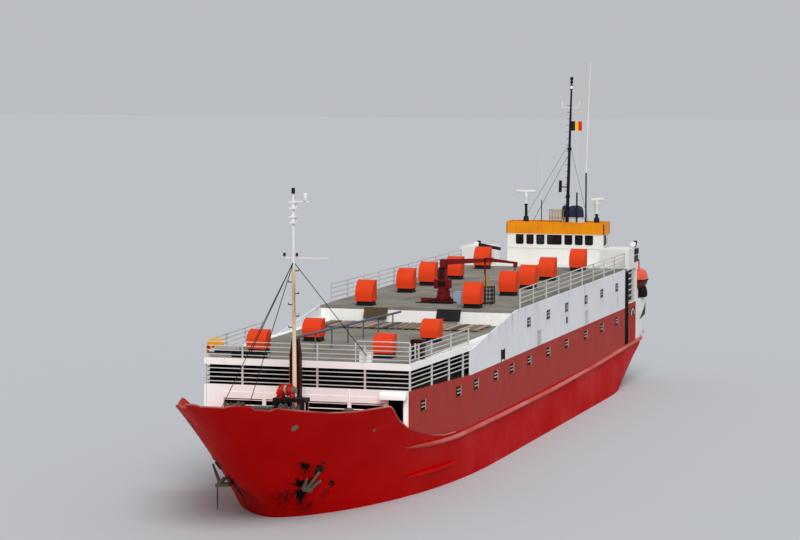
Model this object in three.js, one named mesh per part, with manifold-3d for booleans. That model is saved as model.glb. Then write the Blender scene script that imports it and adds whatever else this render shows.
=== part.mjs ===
// A river-sea cargo vessel rebuilt as a livestock carrier, as a model at 1:2.
// +X is the bow, +Y is port, +Z is up. The origin is amidships on the centreline, at the waterline.
import * as THREE from "three";
import Module from "manifold-3d";

const wasm = await Module();
wasm.setup();

// Driving dimensions. The ship is 12.8 m wide, so the model is 6.4 m wide.
// Every length below is in modules of a thirteenth of the beam, close to a metre of the real ship.
const beam = 6400;
const module = beam / 13;
const seat = 0.3 / module;
const plate = 0.12;

// Heights above the waterline.
const keelZ = -3.9;
const mainDeck = 3.0;
const midDeck = 6.0;
const foreDeckUnder = 7.45;
const foreDeckTop = 7.81;
const upperDeckUnder = 8.62;
const upperDeckTop = 8.82;
const casingTop = 10.2;
const roofUnder = 11.05;
const roofTop = 11.97;

// Places along the ship.
const houseFront = 21.1;
const stepX = -0.4;
const platingEnd = -32.7;
const slotEnd = -33.9;
const sternX = -39.9;
const bridgeFront = -37.54;

// Half widths.
const side = 6.5;
const frontSide = 6.06;
const taperX = 10.35;
const bridgeSide = 3.76;

// Paints and metals.
const paint = (color, roughness = 0.55, metalness = 0.05) =>
  new THREE.MeshStandardMaterial({ color, roughness, metalness });
const hullRed = paint(0xa31410);
const fadedRed = paint(0xa5352d, 0.7);
const white = paint(0xd9d7cf);
const deckGrey = paint(0x8d8a80, 0.8);
const railGrey = paint(0xc9c8c2);
const ventOrange = paint(0xe13e1c);
const craneRed = paint(0x4f0a0d);
const black = paint(0x141414);
const timber = paint(0x9a7f68, 0.85);
const bandYellow = paint(0xe8a012);
const brass = paint(0xa9853f, 0.35, 0.9);
const boatOrange = paint(0xe8501a, 0.5);
const flagCloth = paint(0xd8b11c, 0.9);
const chainGrey = paint(0x4a443c, 0.8, 0.4);

const ship = new THREE.Group();
ship.scale.setScalar(module);

function add(name, geometry, material, parent = ship) {
  const mesh = new THREE.Mesh(geometry, material);
  mesh.name = name;
  parent.add(mesh);
  return mesh;
}

// Booleans on closed geometries.
function toManifold(geometry) {
  const flat = geometry.index ? geometry.toNonIndexed() : geometry;
  const source = flat.getAttribute("position");
  const keys = new Map();
  const vertices = [];
  const triangles = [];
  for (let i = 0; i < source.count; i++) {
    const point = [source.getX(i), source.getY(i), source.getZ(i)];
    const key = point.map((value) => Math.round(value * 1e5)).join(",");
    if (!keys.has(key)) {
      keys.set(key, keys.size);
      vertices.push(...point);
    }
    triangles.push(keys.get(key));
  }
  const kept = [];
  for (let i = 0; i < triangles.length; i += 3) {
    const [a, b, c] = triangles.slice(i, i + 3);
    if (a !== b && b !== c && c !== a) kept.push(a, b, c);
  }
  return new wasm.Manifold(new wasm.Mesh({
    numProp: 3,
    vertProperties: new Float32Array(vertices),
    triVerts: new Uint32Array(kept),
  }));
}

function fromManifold(manifold) {
  const mesh = manifold.getMesh();
  const geometry = new THREE.BufferGeometry();
  geometry.setAttribute("position", new THREE.BufferAttribute(mesh.vertProperties, 3));
  geometry.setIndex(new THREE.BufferAttribute(mesh.triVerts, 1));
  return geometry;
}

function union(...pieces) {
  return fromManifold(pieces.flat().map(toManifold).reduce((sum, next) => sum.add(next)));
}

function cut(body, ...tools) {
  return fromManifold(tools.flat().map(toManifold).reduce((rest, tool) => rest.subtract(tool), toManifold(body)));
}

// The largest body of a cut, without the slivers that a curved backing leaves.
function largest(geometry) {
  const bodies = toManifold(geometry).decompose();
  return fromManifold(bodies.reduce((big, next) => (next.volume() > big.volume() ? next : big)));
}

// Plain shapes.
function box(x0, x1, y0, y1, z0, z1) {
  const geometry = new THREE.BoxGeometry(x1 - x0, y1 - y0, z1 - z0);
  return geometry.translate((x0 + x1) / 2, (y0 + y1) / 2, (z0 + z1) / 2);
}

// A round or square bar between two points.
function rod(from, to, radius, sides = 8, endRadius = radius) {
  const a = new THREE.Vector3(...from);
  const b = new THREE.Vector3(...to);
  const run = b.clone().sub(a);
  const geometry = new THREE.CylinderGeometry(endRadius, radius, run.length(), sides);
  geometry.translate(0, run.length() / 2, 0);
  const turn = new THREE.Quaternion().setFromUnitVectors(new THREE.Vector3(0, 1, 0), run.normalize());
  return geometry.applyQuaternion(turn).translate(a.x, a.y, a.z);
}

function bar(from, to, width, height = width) {
  const a = new THREE.Vector3(...from);
  const b = new THREE.Vector3(...to);
  const run = b.clone().sub(a);
  const geometry = new THREE.BoxGeometry(run.length(), width, height);
  const along = run.clone().normalize();
  const across = new THREE.Vector3(...(Math.abs(along.z) > 0.99 ? [1, 0, 0] : [0, 0, 1])).cross(along).normalize();
  const turn = new THREE.Matrix4().makeBasis(along, across, along.clone().cross(across));
  return geometry.applyMatrix4(turn).translate((a.x + b.x) / 2, (a.y + b.y) / 2, (a.z + b.z) / 2);
}

// An outline of [across, up] points, raised between two places on the third axis.
function extrude(outline, from, to, axis = "z") {
  const shape = new THREE.Shape(outline.map(([a, b]) => new THREE.Vector2(a, b)));
  const geometry = new THREE.ExtrudeGeometry(shape, { depth: to - from, bevelEnabled: false });
  geometry.translate(0, 0, from);
  if (axis === "x") {
    geometry.applyMatrix4(new THREE.Matrix4().set(0, 0, 1, 0, 1, 0, 0, 0, 0, 1, 0, 0, 0, 0, 0, 1));
  }
  if (axis === "y") geometry.rotateX(Math.PI / 2).translate(0, from + to, 0);
  return geometry;
}

// A closed body through sections. Each section lists its port points going up, then as many going down.
function loft(sections) {
  const count = sections[0].length;
  const half = count / 2;
  const points = sections.flat();
  const faces = [];
  const quad = (a, b, c, d) => faces.push(a, b, c, a, c, d);
  for (let s = 0; s + 1 < sections.length; s++) {
    for (let k = 0; k < count; k++) {
      const next = (k + 1) % count;
      quad(s * count + k, s * count + next, (s + 1) * count + next, (s + 1) * count + k);
    }
  }
  for (let k = 0; k + 1 < half; k++) {
    quad(k, count - 1 - k, count - 2 - k, k + 1);
    const last = (sections.length - 1) * count;
    quad(last + k, last + k + 1, last + count - 2 - k, last + count - 1 - k);
  }
  const volume = faces.reduce((sum, _, i) => {
    if (i % 3) return sum;
    const [a, b, c] = [0, 1, 2].map((n) => new THREE.Vector3(...points[faces[i + n]]));
    return sum + a.dot(b.cross(c));
  }, 0);
  if (volume < 0) {
    for (let i = 0; i < faces.length; i += 3) [faces[i], faces[i + 1]] = [faces[i + 1], faces[i]];
  }
  const geometry = new THREE.BufferGeometry();
  geometry.setAttribute("position", new THREE.BufferAttribute(new Float32Array(points.flat()), 3));
  geometry.setIndex(faces);
  return geometry;
}

// The hull's waterlines: the stem's place, the length and two exponents of the entrance,
// the half beam, the stern's place, the length of the run and the half width that it ends in.
const waterlines = [
  { z: -3.9, stem: 22, entrance: 17, full: 1.9, round: 1, half: 5.5, stern: -30, run: 16, end: 0.25 },
  { z: -3.4, stem: 23.6, entrance: 19, full: 2, round: 0.9, half: 6.25, stern: -31, run: 15.5, end: 0.25 },
  { z: -2.2, stem: 25, entrance: 21, full: 2.15, round: 0.75, half: 6.5, stern: -33, run: 15, end: 0.3 },
  { z: -1.1, stem: 25.9, entrance: 22.4, full: 2.2, round: 0.67, half: 6.5, stern: -33.2, run: 13, end: 0.35 },
  { z: -0.55, stem: 26.3, entrance: 22.6, full: 2.22, round: 0.64, half: 6.5, stern: -37.3, run: 13.2, end: 0.45 },
  { z: 0, stem: 26.8, entrance: 22.7, full: 2.22, round: 0.62, half: 6.5, stern: -38.4, run: 12, end: 0.6 },
  { z: 1.04, stem: 28, entrance: 20.9, full: 2, round: 0.61, half: 6.5, stern: -38.9, run: 8.7, end: 2.2 },
  { z: 2.02, stem: 29.2, entrance: 19.2, full: 1.8, round: 0.6, half: 6.5, stern: -39.4, run: 5.6, end: 3.7 },
  { z: 3, stem: 30.4, entrance: 17.4, full: 1.64, round: 0.58, half: 6.5, stern: -39.9, run: 2.5, end: 5.2 },
  { z: 5.3, stem: 33.4, entrance: 13, full: 1.25, round: 0.55, half: 6.5, stern: -39.9, run: 2.5, end: 5.2 },
  { z: 7.9, stem: 36.9, entrance: 7.85, full: 0.8, round: 0.5, half: 6.5, stern: -39.9, run: 2.5, end: 5.2 },
];
const stemBar = 0.06;

function waterline(z) {
  const top = waterlines.length - 1;
  const upper = Math.min(Math.max(waterlines.findIndex((row) => row.z >= z), 1), top);
  const a = waterlines[upper - 1];
  const b = waterlines[z > waterlines[top].z ? top : upper];
  const share = Math.min((z - a.z) / (b.z - a.z), 1);
  return Object.fromEntries(Object.keys(a).map((key) => [key, a[key] + (b[key] - a[key]) * share]));
}

function halfBreadth(x, z) {
  const line = waterline(z);
  const bowT = (x - line.stem + line.entrance) / line.entrance;
  if (bowT > 0) {
    const left = Math.max(1 - Math.min(bowT, 1) ** line.full, 0);
    return Math.max(line.half * left ** line.round, stemBar);
  }
  const sternT = Math.min((line.stern + line.run - x) / line.run, 1);
  if (sternT > 0) return line.end + (line.half - line.end) * Math.sqrt(1 - sternT ** 3);
  return line.half;
}

// Even steps from 0 to 1 that close up towards both ends.
const cosineSteps = (count) => Array.from({ length: count + 1 }, (_, i) => 0.5 - 0.5 * Math.cos((Math.PI * i) / count));

// Hull, up to the main deck.
const hullLevels = [keelZ, -3.65, -3.4, -2.9, -2.2, -1.1, -0.55, 0, 1.04, 2.02, mainDeck];
const hullSections = cosineSteps(28).map((share) => {
  const port = hullLevels.map((z) => {
    const line = waterline(z);
    const x = line.stern + (line.stem - line.stern) * share;
    return [x, halfBreadth(x, z), z];
  });
  return [...port, ...port.map(([x, y, z]) => [x, -y, z]).reverse()];
});
const shaftZ = -2.45;
const stockX = -35.4;
const pinClearance = 2 * seat;
const shaftRadius = 0.14;
const hull = add("hull", cut(
  loft(hullSections),
  rod([-31.5, 0, shaftZ], [-35, 0, shaftZ], shaftRadius + pinClearance, 32),
  rod([stockX, 0, -3], [stockX, 0, 0.3], shaftRadius + pinClearance, 32),
), hullRed);

// Forecastle block under its deck, with the deck rising straight to the stem.
const foreBlockX = houseFront + seat;
const foreDeckLow = 4.2;
const deckStemZ = 5.9;
const deckStemX = waterline(deckStemZ).stem;
const foreDeckZ = (x) => foreDeckLow + ((deckStemZ - foreDeckLow) * (x - foreBlockX)) / (deckStemX - foreBlockX);
const foreSteps = [0, 0.12, 0.25, 0.38, 0.5, 0.62, 0.73, 0.82, 0.9, 0.96, 1];
const blockLevels = [0, 0.25, 0.5, 0.75, 1];
const foreBottom = mainDeck + seat;
const forecastleBlock = loft(foreSteps.map((share) => {
  const topX = foreBlockX + (deckStemX - foreBlockX) * share;
  const port = blockLevels.map((level) => {
    const z = foreBottom + (foreDeckZ(topX) - foreBottom) * level;
    const stemX = waterline(foreBottom + (deckStemZ - foreBottom) * level).stem;
    const x = foreBlockX + (stemX - foreBlockX) * share;
    return [x, halfBreadth(x, z) - seat, z];
  });
  return [...port, ...port.map(([x, y, z]) => [x, -y, z]).reverse()];
}));

// Bulwark round the forecastle: its top runs nearly level, then sweeps down to the main deck.
const sweep = [
  { x: 13, z: 3.06 }, { x: 15.5, z: 3.16 }, { x: 17.1, z: 3.37 }, { x: 19.1, z: 3.78 }, { x: 21.09, z: 4.29 },
];
const bulwarkTop = [
  ...sweep, { x: foreBlockX, z: 4.3 }, { x: 22.6, z: 4.91 }, { x: 23.6, z: 5.45 }, { x: 24.5, z: 5.93 },
  { x: 25.2, z: 5.99 }, { x: 26.6, z: 6 }, { x: 28, z: 6.03 }, { x: 29.9, z: 6.21 }, { x: 31.7, z: 6.5 },
  { x: 33, z: 6.73 }, { x: 34, z: 6.89 }, { x: 34.8, z: 7.02 }, { x: 35.4, z: 7.13 }, { x: 35.8, z: 7.2 },
  { x: 36, z: 7.24 },
];
const bulwarkThick = 0.07;
const bulwarkSunk = 0.05;
const rakeX = 24;
function bulwarkLine({ x, z }, sign) {
  const rake = (deckStemX - rakeX) / (bulwarkTop.at(-1).x - rakeX);
  const footX = x > rakeX ? rakeX + (x - rakeX) * rake : x;
  const foot = x >= foreBlockX ? foreDeckZ(footX) - bulwarkSunk : foreBottom;
  return { foot: [footX, sign * halfBreadth(footX, foot), foot], top: [x, sign * halfBreadth(x, z), z] };
}
const bulwarkLines = [
  ...bulwarkTop.map((point) => bulwarkLine(point, 1)),
  ...[...bulwarkTop].reverse().map((point) => bulwarkLine(point, -1)),
];
// The inner face lies one thickness inboard, square to the line in plan.
function inboard(end, i) {
  const before = bulwarkLines[Math.max(i - 1, 0)][end];
  const after = bulwarkLines[Math.min(i + 1, bulwarkLines.length - 1)][end];
  const [dx, dy] = [after[0] - before[0], after[1] - before[1]];
  const step = bulwarkThick / Math.hypot(dx, dy);
  const [x, y, z] = bulwarkLines[i][end];
  return [x + dy * step, y - dx * step, z];
}
const forecastle = add("forecastle", union(
  forecastleBlock,
  loft(bulwarkLines.map(({ foot, top }, i) => [foot, top, inboard("top", i), inboard("foot", i)])),
), hullRed);

// A straight-sided wall from sections of outer points, with its inner face one plate inboard.
function wall(points, sign, thick = plate) {
  return loft(points.map(({ x, y, low, high, innerX = x }) => [
    [x, sign * y, low], [x, sign * y, high],
    [innerX, sign * (y - thick), high], [innerX, sign * (y - thick), low],
  ]));
}

const sides = [["port", 1], ["starboard", -1]];

// Lower house sides: red plating with ventilation openings, on the edge of the main deck and,
// further forward, on the sweep of the bulwark.
const openingLong = 0.8;
const openingHigh = 0.55;
const lowerOpenings = [19, 12.6, 9.1, 4.6, 0.7, -3.7, -8.8, -14, -19.7, -24.8, -29.8];
const upperOpenings = [-3.6, -8.8, -14, -19.8, -24.8, -29.8];
const lowerOpeningZ = 5.32;
const upperOpeningZ = 7.78;
const opening = (x, z, sign) => box(
  x - openingLong / 2, x + openingLong / 2, Math.min(sign * 5.5, sign * 7), Math.max(sign * 5.5, sign * 7),
  z - openingHigh / 2, z + openingHigh / 2,
);
const penBase = 6.34;
const yAt = (x, aft, front) => (x < taperX ? aft : aft + ((front - aft) * (x - taperX)) / (houseFront - taperX));
const sideTop = (x) => midDeck + ((penBase - midDeck) * (x - taperX)) / (houseFront - taperX);
const sweepClear = 0.012;
const lowerSides = sides.map(([name, sign]) => (
  add(`lower_side_${name}`, cut(
    wall([
      { x: platingEnd, y: side, low: foreBottom, high: midDeck },
      { x: taperX, y: side, low: foreBottom, high: midDeck },
      ...sweep.map(({ x, z }) => ({ x, y: yAt(x, side, frontSide), low: z + sweepClear, high: sideTop(x) })),
      { x: houseFront, y: frontSide, low: sweep.at(-1).z + sweepClear, high: penBase },
    ], sign),
    lowerOpenings.map((x) => opening(x, lowerOpeningZ, sign)),
  ), fadedRed)
));

// White upper plating: level over the load space, then falling in a straight slope to the open pens.
const slopeLow = 7.44;
const upperFoot = midDeck + seat;
const slopeTop = (x) => upperDeckTop + ((slopeLow - upperDeckTop) * (x - stepX)) / (taperX - stepX);
for (const [name, sign] of sides) {
  add(`upper_side_${name}`, cut(
    wall([
      { x: platingEnd, y: side, low: upperFoot, high: upperDeckTop },
      { x: stepX, y: side, low: upperFoot, high: upperDeckTop },
      { x: taperX - seat, y: side, low: upperFoot, high: slopeLow },
    ], sign),
    upperOpenings.map((x) => opening(x, upperOpeningZ, sign)),
    box(2.5, 3.25, sign > 0 ? 6 : -7, sign > 0 ? 7 : -6, 5.89 + 0.2, 6.7),
  ), white);
}

// Decks between the side walls, narrowing to the front.
const insideY = side - plate - seat;
const insideFront = frontSide - plate - seat;
function deckOutline(aftX, frontX, aft = insideY, front = insideFront) {
  const port = [[aftX, aft], ...(frontX > taperX && aftX < taperX ? [[taperX, aft]] : []), [frontX, yAt(frontX, aft, front)]];
  return [...port, ...port.map(([x, y]) => [x, -y]).reverse()];
}
const wallBackX = platingEnd + plate + seat;
const frontWallBack = houseFront - plate;
add("mid_deck", extrude(deckOutline(wallBackX, frontWallBack - seat), midDeck - plate, midDeck), deckGrey);

const doorY = [4.75, 5.65];
const doorZ = [4.25, 5.85];
const frontBays = [[-4.9, -2.6], [-2.4, -0.1], [0.1, 2.4], [2.6, 4.5]];
const frontBayZ = [4.6, 5.9];
const frontHalf = insideFront - 0.02;
const sweepEnd = sweep.at(-1).z;
const frontFoot = halfBreadth(houseFront, foreBottom) - 0.15;
const frontWaist = halfBreadth(houseFront, sweepEnd) - 0.15;
const frontOutline = [
  [frontFoot, foreBottom], [frontWaist, sweepEnd], [frontHalf, sweepEnd + 0.05], [frontHalf, penBase],
];
add("front_wall", cut(
  extrude([...frontOutline, ...frontOutline.map(([y, z]) => [-y, z]).reverse()], frontWallBack, houseFront, "x"),
  box(frontWallBack - 1, houseFront + 1, doorY[0], doorY[1], doorZ[0], doorZ[1]),
  ...frontBays.map(([y0, y1]) => box(frontWallBack - 1, houseFront + 1, y0, y1, frontBayZ[0], frontBayZ[1])),
), white);
add("aft_wall", box(platingEnd, platingEnd + plate, -insideY, insideY, foreBottom, upperDeckUnder - seat), white);

// Open pens under the fore deck: posts and bars across the front and along both sides.
const penFoot = penBase + seat;
const penTop = foreDeckUnder - seat;
const penBarCount = 4;
const barWide = 0.05;
const postWide = 0.1;
const penLine = (x, sign) => [x, sign * (yAt(x, side, frontSide) - 0.07)];
const frontPosts = [-3.79, -0.95, 0.63, 3.4];
const sidePosts = [17.3, 14.2, 11.6];
const penPieces = [];
const penX = houseFront - 0.07;
const cornerY = frontSide - 0.07;
const penPost = (x, y, foot) => box(x - postWide / 2, x + postWide / 2, y - postWide / 2, y + postWide / 2, foot, penTop);
for (const y of frontPosts) penPieces.push(penPost(penX, y, penFoot));
for (const [, sign] of sides) {
  penPieces.push(penPost(penX, sign * cornerY, penFoot));
  for (const x of sidePosts) penPieces.push(penPost(x, penLine(x, sign)[1], sideTop(x + postWide) + seat));
}
for (let i = 0; i < penBarCount; i++) {
  const z = penFoot + 0.17 + i * 0.245;
  penPieces.push(bar([penX, -cornerY, z], [penX, cornerY, z], barWide));
  for (const [, sign] of sides) {
    penPieces.push(bar([penX, sign * cornerY, z], [taperX + 0.2, penLine(taperX + 0.2, sign)[1], z], barWide));
  }
}
add("pen_rails", union(penPieces), railGrey);

// Fore deck slab with its white edge, and the step up to the upper deck.
const stepInside = taperX + 0.01;
add("fore_deck", extrude([
  [stepX, insideY], [stepInside, insideY], [stepInside, side], [houseFront, frontSide],
  [houseFront, -frontSide], [stepInside, -side], [stepInside, -insideY], [stepX, -insideY],
].reverse(), foreDeckUnder, foreDeckTop), white);
const stepFoot = foreDeckTop + seat;
const flapPlaces = [["starboard", -2.65, 0x4b3a26], ["port", 2.15, 0x141414]];
const flapWide = 1.55;
const stepDoorZ = [8.0, 8.7];
add("step_wall", cut(
  box(stepX - plate, stepX, -insideY, insideY, stepFoot, upperDeckUnder - seat),
  flapPlaces.map(([, y]) => box(
    stepX - 1, stepX + 1, y - flapWide / 2 + 0.1, y + flapWide / 2 - 0.1, stepDoorZ[0], stepDoorZ[1] - 0.12,
  )),
), white);
add("upper_deck", extrude([
  [slotEnd + seat, -insideY], [stepX, -insideY], [stepX, insideY], [slotEnd + seat, insideY],
], upperDeckUnder, upperDeckTop), deckGrey);

// Hatch flaps hung on the step wall, propped a little open.
const hingeRadius = 0.04;
const flapHinge = { x: stepX + hingeRadius + seat, z: 8.72 };
const flapLong = 0.72;
const flapThick = 0.05;
const flapLean = THREE.MathUtils.degToRad(28);
const flapOutline = [[-flapThick / 2, -flapLong], [flapThick / 2, -flapLong]];
for (let i = 0; i <= 12; i++) {
  const turn = THREE.MathUtils.degToRad(-50 + (280 * i) / 12);
  flapOutline.push([hingeRadius * Math.cos(turn), hingeRadius * Math.sin(turn)]);
}
for (const [name, y, color] of flapPlaces) {
  const hung = extrude(flapOutline, -flapWide / 2, flapWide / 2, "y").rotateY(-flapLean);
  const flap = add(`flap_${name}`, hung, paint(color));
  flap.position.set(flapHinge.x, y, flapHinge.z);
}

// Loose boards laid fore and aft in front of the step, on three bearers.
const plankZ = foreDeckTop + seat;
const plankX = 0.35;
const plankLong = 3.37;
const plankStep = 0.44;
const plankSpan = [-5.4, 5.2];
const planks = [0.4, 1.7, 3].map((x) => (
  box(plankX + x - 0.06, plankX + x + 0.06, ...plankSpan, plankZ, plankZ + 0.1)
));
for (let y = plankSpan[0]; y < plankSpan[1] - 0.3; y += plankStep) {
  planks.push(box(plankX, plankX + plankLong, y, y + 0.34, plankZ + 0.09, plankZ + 0.15));
}
add("plank_floor", union(planks), timber);

// Rails round the fore deck.
const foreRailFoot = foreDeckTop + seat;
const railPost = (x, y, foot, top) => box(x - 0.04, x + 0.04, y - 0.04, y + 0.04, foot, top);
const foreRailHigh = 0.98;
const foreRailAft = 8.6;
const foreRail = [];
const foreRailX = houseFront - 0.08;
const foreRailY = frontSide - 0.08;
const railLine = (x, sign) => sign * (yAt(x, side, frontSide) - (x > taperX ? 0.08 : plate + 0.1));
for (const y of [-foreRailY, -3.79, -0.8, 0.63, 3.4, foreRailY]) {
  foreRail.push(railPost(foreRailX, y, foreRailFoot, foreRailFoot + foreRailHigh));
}
for (const [, sign] of sides) {
  for (const x of [17.3, 13.8, 10.5]) {
    foreRail.push(railPost(x, railLine(x, sign), foreRailFoot, foreRailFoot + foreRailHigh));
  }
}
for (const rise of [0.2, 0.45, 0.7, 0.94]) {
  const z = foreRailFoot + rise;
  foreRail.push(bar([foreRailX, -foreRailY, z], [foreRailX, foreRailY, z], 0.045));
  for (const [, sign] of sides) {
    foreRail.push(bar([foreRailX, sign * foreRailY, z], [10.5, railLine(10.5, sign), z], 0.045));
  }
}
add("fore_rails", union(foreRail), railGrey);

// Fences along the upper deck.
const fenceFoot = upperDeckTop + seat;
const fenceHigh = 1.2;
const fenceFront = -2.2;
const fenceAft = -33.4;
const fencePosts = 10;
for (const [name, sign] of sides) {
  const y = sign * (insideY - 0.1);
  const pieces = [];
  for (let i = 0; i < fencePosts; i++) {
    const x = fenceFront + ((fenceAft - fenceFront) * i) / (fencePosts - 1);
    pieces.push(railPost(x, y, fenceFoot, fenceFoot + fenceHigh));
  }
  for (const rise of [0.3, 0.6, 0.9, 1.17]) {
    pieces.push(box(fenceAft, fenceFront, y - 0.025, y + 0.025, fenceFoot + rise - 0.025, fenceFoot + rise + 0.025));
  }
  add(`fence_${name}`, union(pieces), railGrey);
}

// Hooded ventilators: a black coaming under an orange hood whose front is a quarter round.
const hoodWide = 1.15;
const hoodLong = 1;
const coamingHigh = 0.3;
const cheekHigh = 0.3;
function hood(high) {
  const outline = [[-hoodLong / 2, coamingHigh], [hoodLong / 2, coamingHigh], [hoodLong / 2, coamingHigh + cheekHigh]];
  for (let i = 1; i <= 6; i++) {
    const turn = (Math.PI / 2) * (i / 6);
    outline.push([
      hoodLong / 2 - (hoodLong - 0.1) * (1 - Math.cos(turn)),
      coamingHigh + cheekHigh + (high - cheekHigh) * Math.sin(turn),
    ]);
  }
  outline.push([-hoodLong / 2, coamingHigh + high]);
  return union(
    extrude(outline, -hoodWide / 2, hoodWide / 2, "y"),
    box(-hoodLong / 2 + 0.05, hoodLong / 2 - 0.08, -hoodWide / 2 + 0.08, hoodWide / 2 - 0.08, 0, coamingHigh + 0.1),
  );
}
const ventRows = [
  { deck: foreDeckTop, high: 1.03, places: [[18.2, -3.85], [18.2, 3.67], [11.2, -2.92], [9.6, 3.9]] },
  { deck: upperDeckTop, high: 1.3, places: [
    [-1, -3.53], [-1.3, 3.45], [-10.6, -3.74], [-10.3, 3.43], [-16.2, -3.85], [-15.6, 3.43],
    [-21.5, -3.42], [-22.5, 3.1], [-31, -3.95], [-31, 3.33],
  ] },
];
let ventCount = 0;
for (const { deck, high, places } of ventRows) {
  for (const [x, y] of places) {
    ventCount += 1;
    const vent = add(`ventilator_${ventCount}`, hood(high), ventOrange);
    vent.position.set(x, y, deck + seat);
  }
}

// Deck crane: a bolted pedestal, a slewing column, a boom and a folding jib, all lying out to port.
const craneX = -4;
const craneY = 0.75;
const craneFoot = upperDeckTop + seat;
const slewZ = 9.5;
const pivotZ = 11.45;
const boomLong = 3.1;
const jibLong = 1.75;
const moveGap = 12 / module;
add("crane_pedestal", union(
  rod([craneX, craneY, craneFoot], [craneX, craneY, slewZ], 0.42, 16),
  box(craneX - 0.7, craneX + 0.7, craneY - 0.7, craneY + 0.7, craneFoot, craneFoot + 0.12),
  box(craneX - 0.12, craneX + 0.12, craneY - 1.5, craneY + 1.5, craneFoot, craneFoot + 0.3),
), craneRed);
const column = new THREE.Group();
column.position.set(craneX, craneY, slewZ + seat);
ship.add(column);
const columnHigh = pivotZ - slewZ;
add("crane_column", union(
  rod([0, 0, 0], [0, 0, 0.25], 0.42, 16),
  box(-0.24, 0.24, -0.3, 0.2, 0.2, columnHigh - 0.28),
  box(-0.34, 0.34, -0.55, 0.45, 0.25, 0.85),
  box(-0.24, -0.15, -0.2, 0.2, columnHigh - 0.35, columnHigh + 0.18),
  box(0.15, 0.24, -0.2, 0.2, columnHigh - 0.35, columnHigh + 0.18),
), craneRed, column);
const boom = new THREE.Group();
boom.position.set(0, 0, columnHigh - seat);
column.add(boom);
const earGap = 0.15 - moveGap;
const knuckle = [boomLong, 0.2];
add("crane_boom", union(
  extrude([[-0.16, -0.14], [0.2, -0.16], [knuckle[0] - 0.22, knuckle[1] - 0.14], [knuckle[0] - 0.22, knuckle[1] + 0.1],
    [0.3, 0.2], [-0.16, 0.16]], -earGap + 0.02, earGap - 0.02, "x"),
  rod([-0.15 + 2 * seat, 0, 0], [0.15 - 2 * seat, 0, 0], 0.12, 16),
  box(-0.2, -0.12, knuckle[0] - 0.32, knuckle[0] + 0.16, knuckle[1] - 0.14, knuckle[1] + 0.14),
  box(0.12, 0.2, knuckle[0] - 0.32, knuckle[0] + 0.16, knuckle[1] - 0.14, knuckle[1] + 0.14),
  box(-0.2, 0.2, knuckle[0] - 0.32, knuckle[0] - 0.22, knuckle[1] - 0.14, knuckle[1] + 0.14),
), craneRed, boom);
const jib = new THREE.Group();
jib.position.set(0, knuckle[0], knuckle[1]);
boom.add(jib);
add("crane_jib", union(
  extrude([
    [-0.12, -0.1], [0.2, -0.12], [jibLong - 0.2, -0.2], [jibLong - 0.25, -0.42], [jibLong, -0.44],
    [jibLong + 0.05, -0.1], [0.2, 0.1], [-0.12, 0.1],
  ], -0.12 + moveGap, 0.12 - moveGap, "x"),
  rod([-0.12 + 2 * seat, 0, 0], [0.12 - 2 * seat, 0, 0], 0.08, 16),
), craneRed, jib);

// Boom rest with the stores cage at its foot.
const restY = craneY + boomLong - 0.35;
const restTop = pivotZ + 0.037;
const cageX = craneX;
const cageHigh = 1.15;
const cageHalf = 0.42;
const cagePieces = [box(cageX - 0.05, cageX + 0.05, restY - 0.05, restY + 0.05, craneFoot, restTop)];
for (const dx of [-cageHalf, cageHalf]) {
  for (const dy of [-cageHalf, cageHalf]) {
    cagePieces.push(railPost(cageX + dx, restY + 0.1 + dy, craneFoot, craneFoot + cageHigh));
  }
}
cagePieces.push(bar([cageX - cageHalf, restY, craneFoot + 0.08], [cageX + cageHalf, restY, craneFoot + 0.08], 0.08));
for (const rise of [0.08, 0.6, 1.1]) {
  const z = craneFoot + rise;
  for (const d of [-cageHalf, cageHalf]) {
    cagePieces.push(bar([cageX - cageHalf, restY + 0.1 + d, z], [cageX + cageHalf, restY + 0.1 + d, z], 0.05));
    cagePieces.push(bar([cageX + d, restY + 0.1 - cageHalf, z], [cageX + d, restY + 0.1 + cageHalf, z], 0.05));
  }
}
add("boom_rest", union(cagePieces), black);

// Stern bulwark round the quarters and the transom, with the boat deck inside it.
const sternTop = 6.2;
const sternPath = [
  { x: slotEnd, y: side }, { x: -37.4, y: side }, { x: -38.2, y: halfBreadth(-38.2, 3) },
  { x: -38.9, y: halfBreadth(-38.9, 3) }, { x: -39.5, y: halfBreadth(-39.5, 3) }, { x: sternX, y: 5.2 },
];
const sternOutline = (inset) => [
  ...sternPath.map(({ x, y }) => [Math.max(x, sternX + inset), y - inset]),
  ...[...sternPath].reverse().map(({ x, y }) => [Math.max(x, sternX + inset), -y + inset]),
];
const aftHouse = { front: slotEnd, back: -38.6, half: 5.1 };
const davitFoot = [-38.4, 5.45];
const davitZ = midDeck + 0.2;
const bracket = (x0, x1, high) => box(
  davitFoot[0] + x0, davitFoot[0] + x1, davitFoot[1] - 0.2, davitFoot[1] + 0.2, midDeck - 0.05, midDeck + high,
);
const sternBulwark = add("stern_bulwark", union(
  cut(
    extrude(sternOutline(0).reverse(), foreBottom, sternTop),
    extrude([[slotEnd + 1, side - plate], ...sternOutline(plate), [slotEnd + 1, -side + plate]].reverse(), 2, 7),
  ),
  cut(
    extrude(sternOutline(plate / 2).reverse(), midDeck - plate, midDeck),
    box(aftHouse.back - seat, aftHouse.front + 1, -aftHouse.half - seat, aftHouse.half + seat, 5, 7),
  ),
  bracket(-0.3, -0.14, 0.4),
  bracket(0.14, 0.3, 0.4),
), white);

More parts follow.
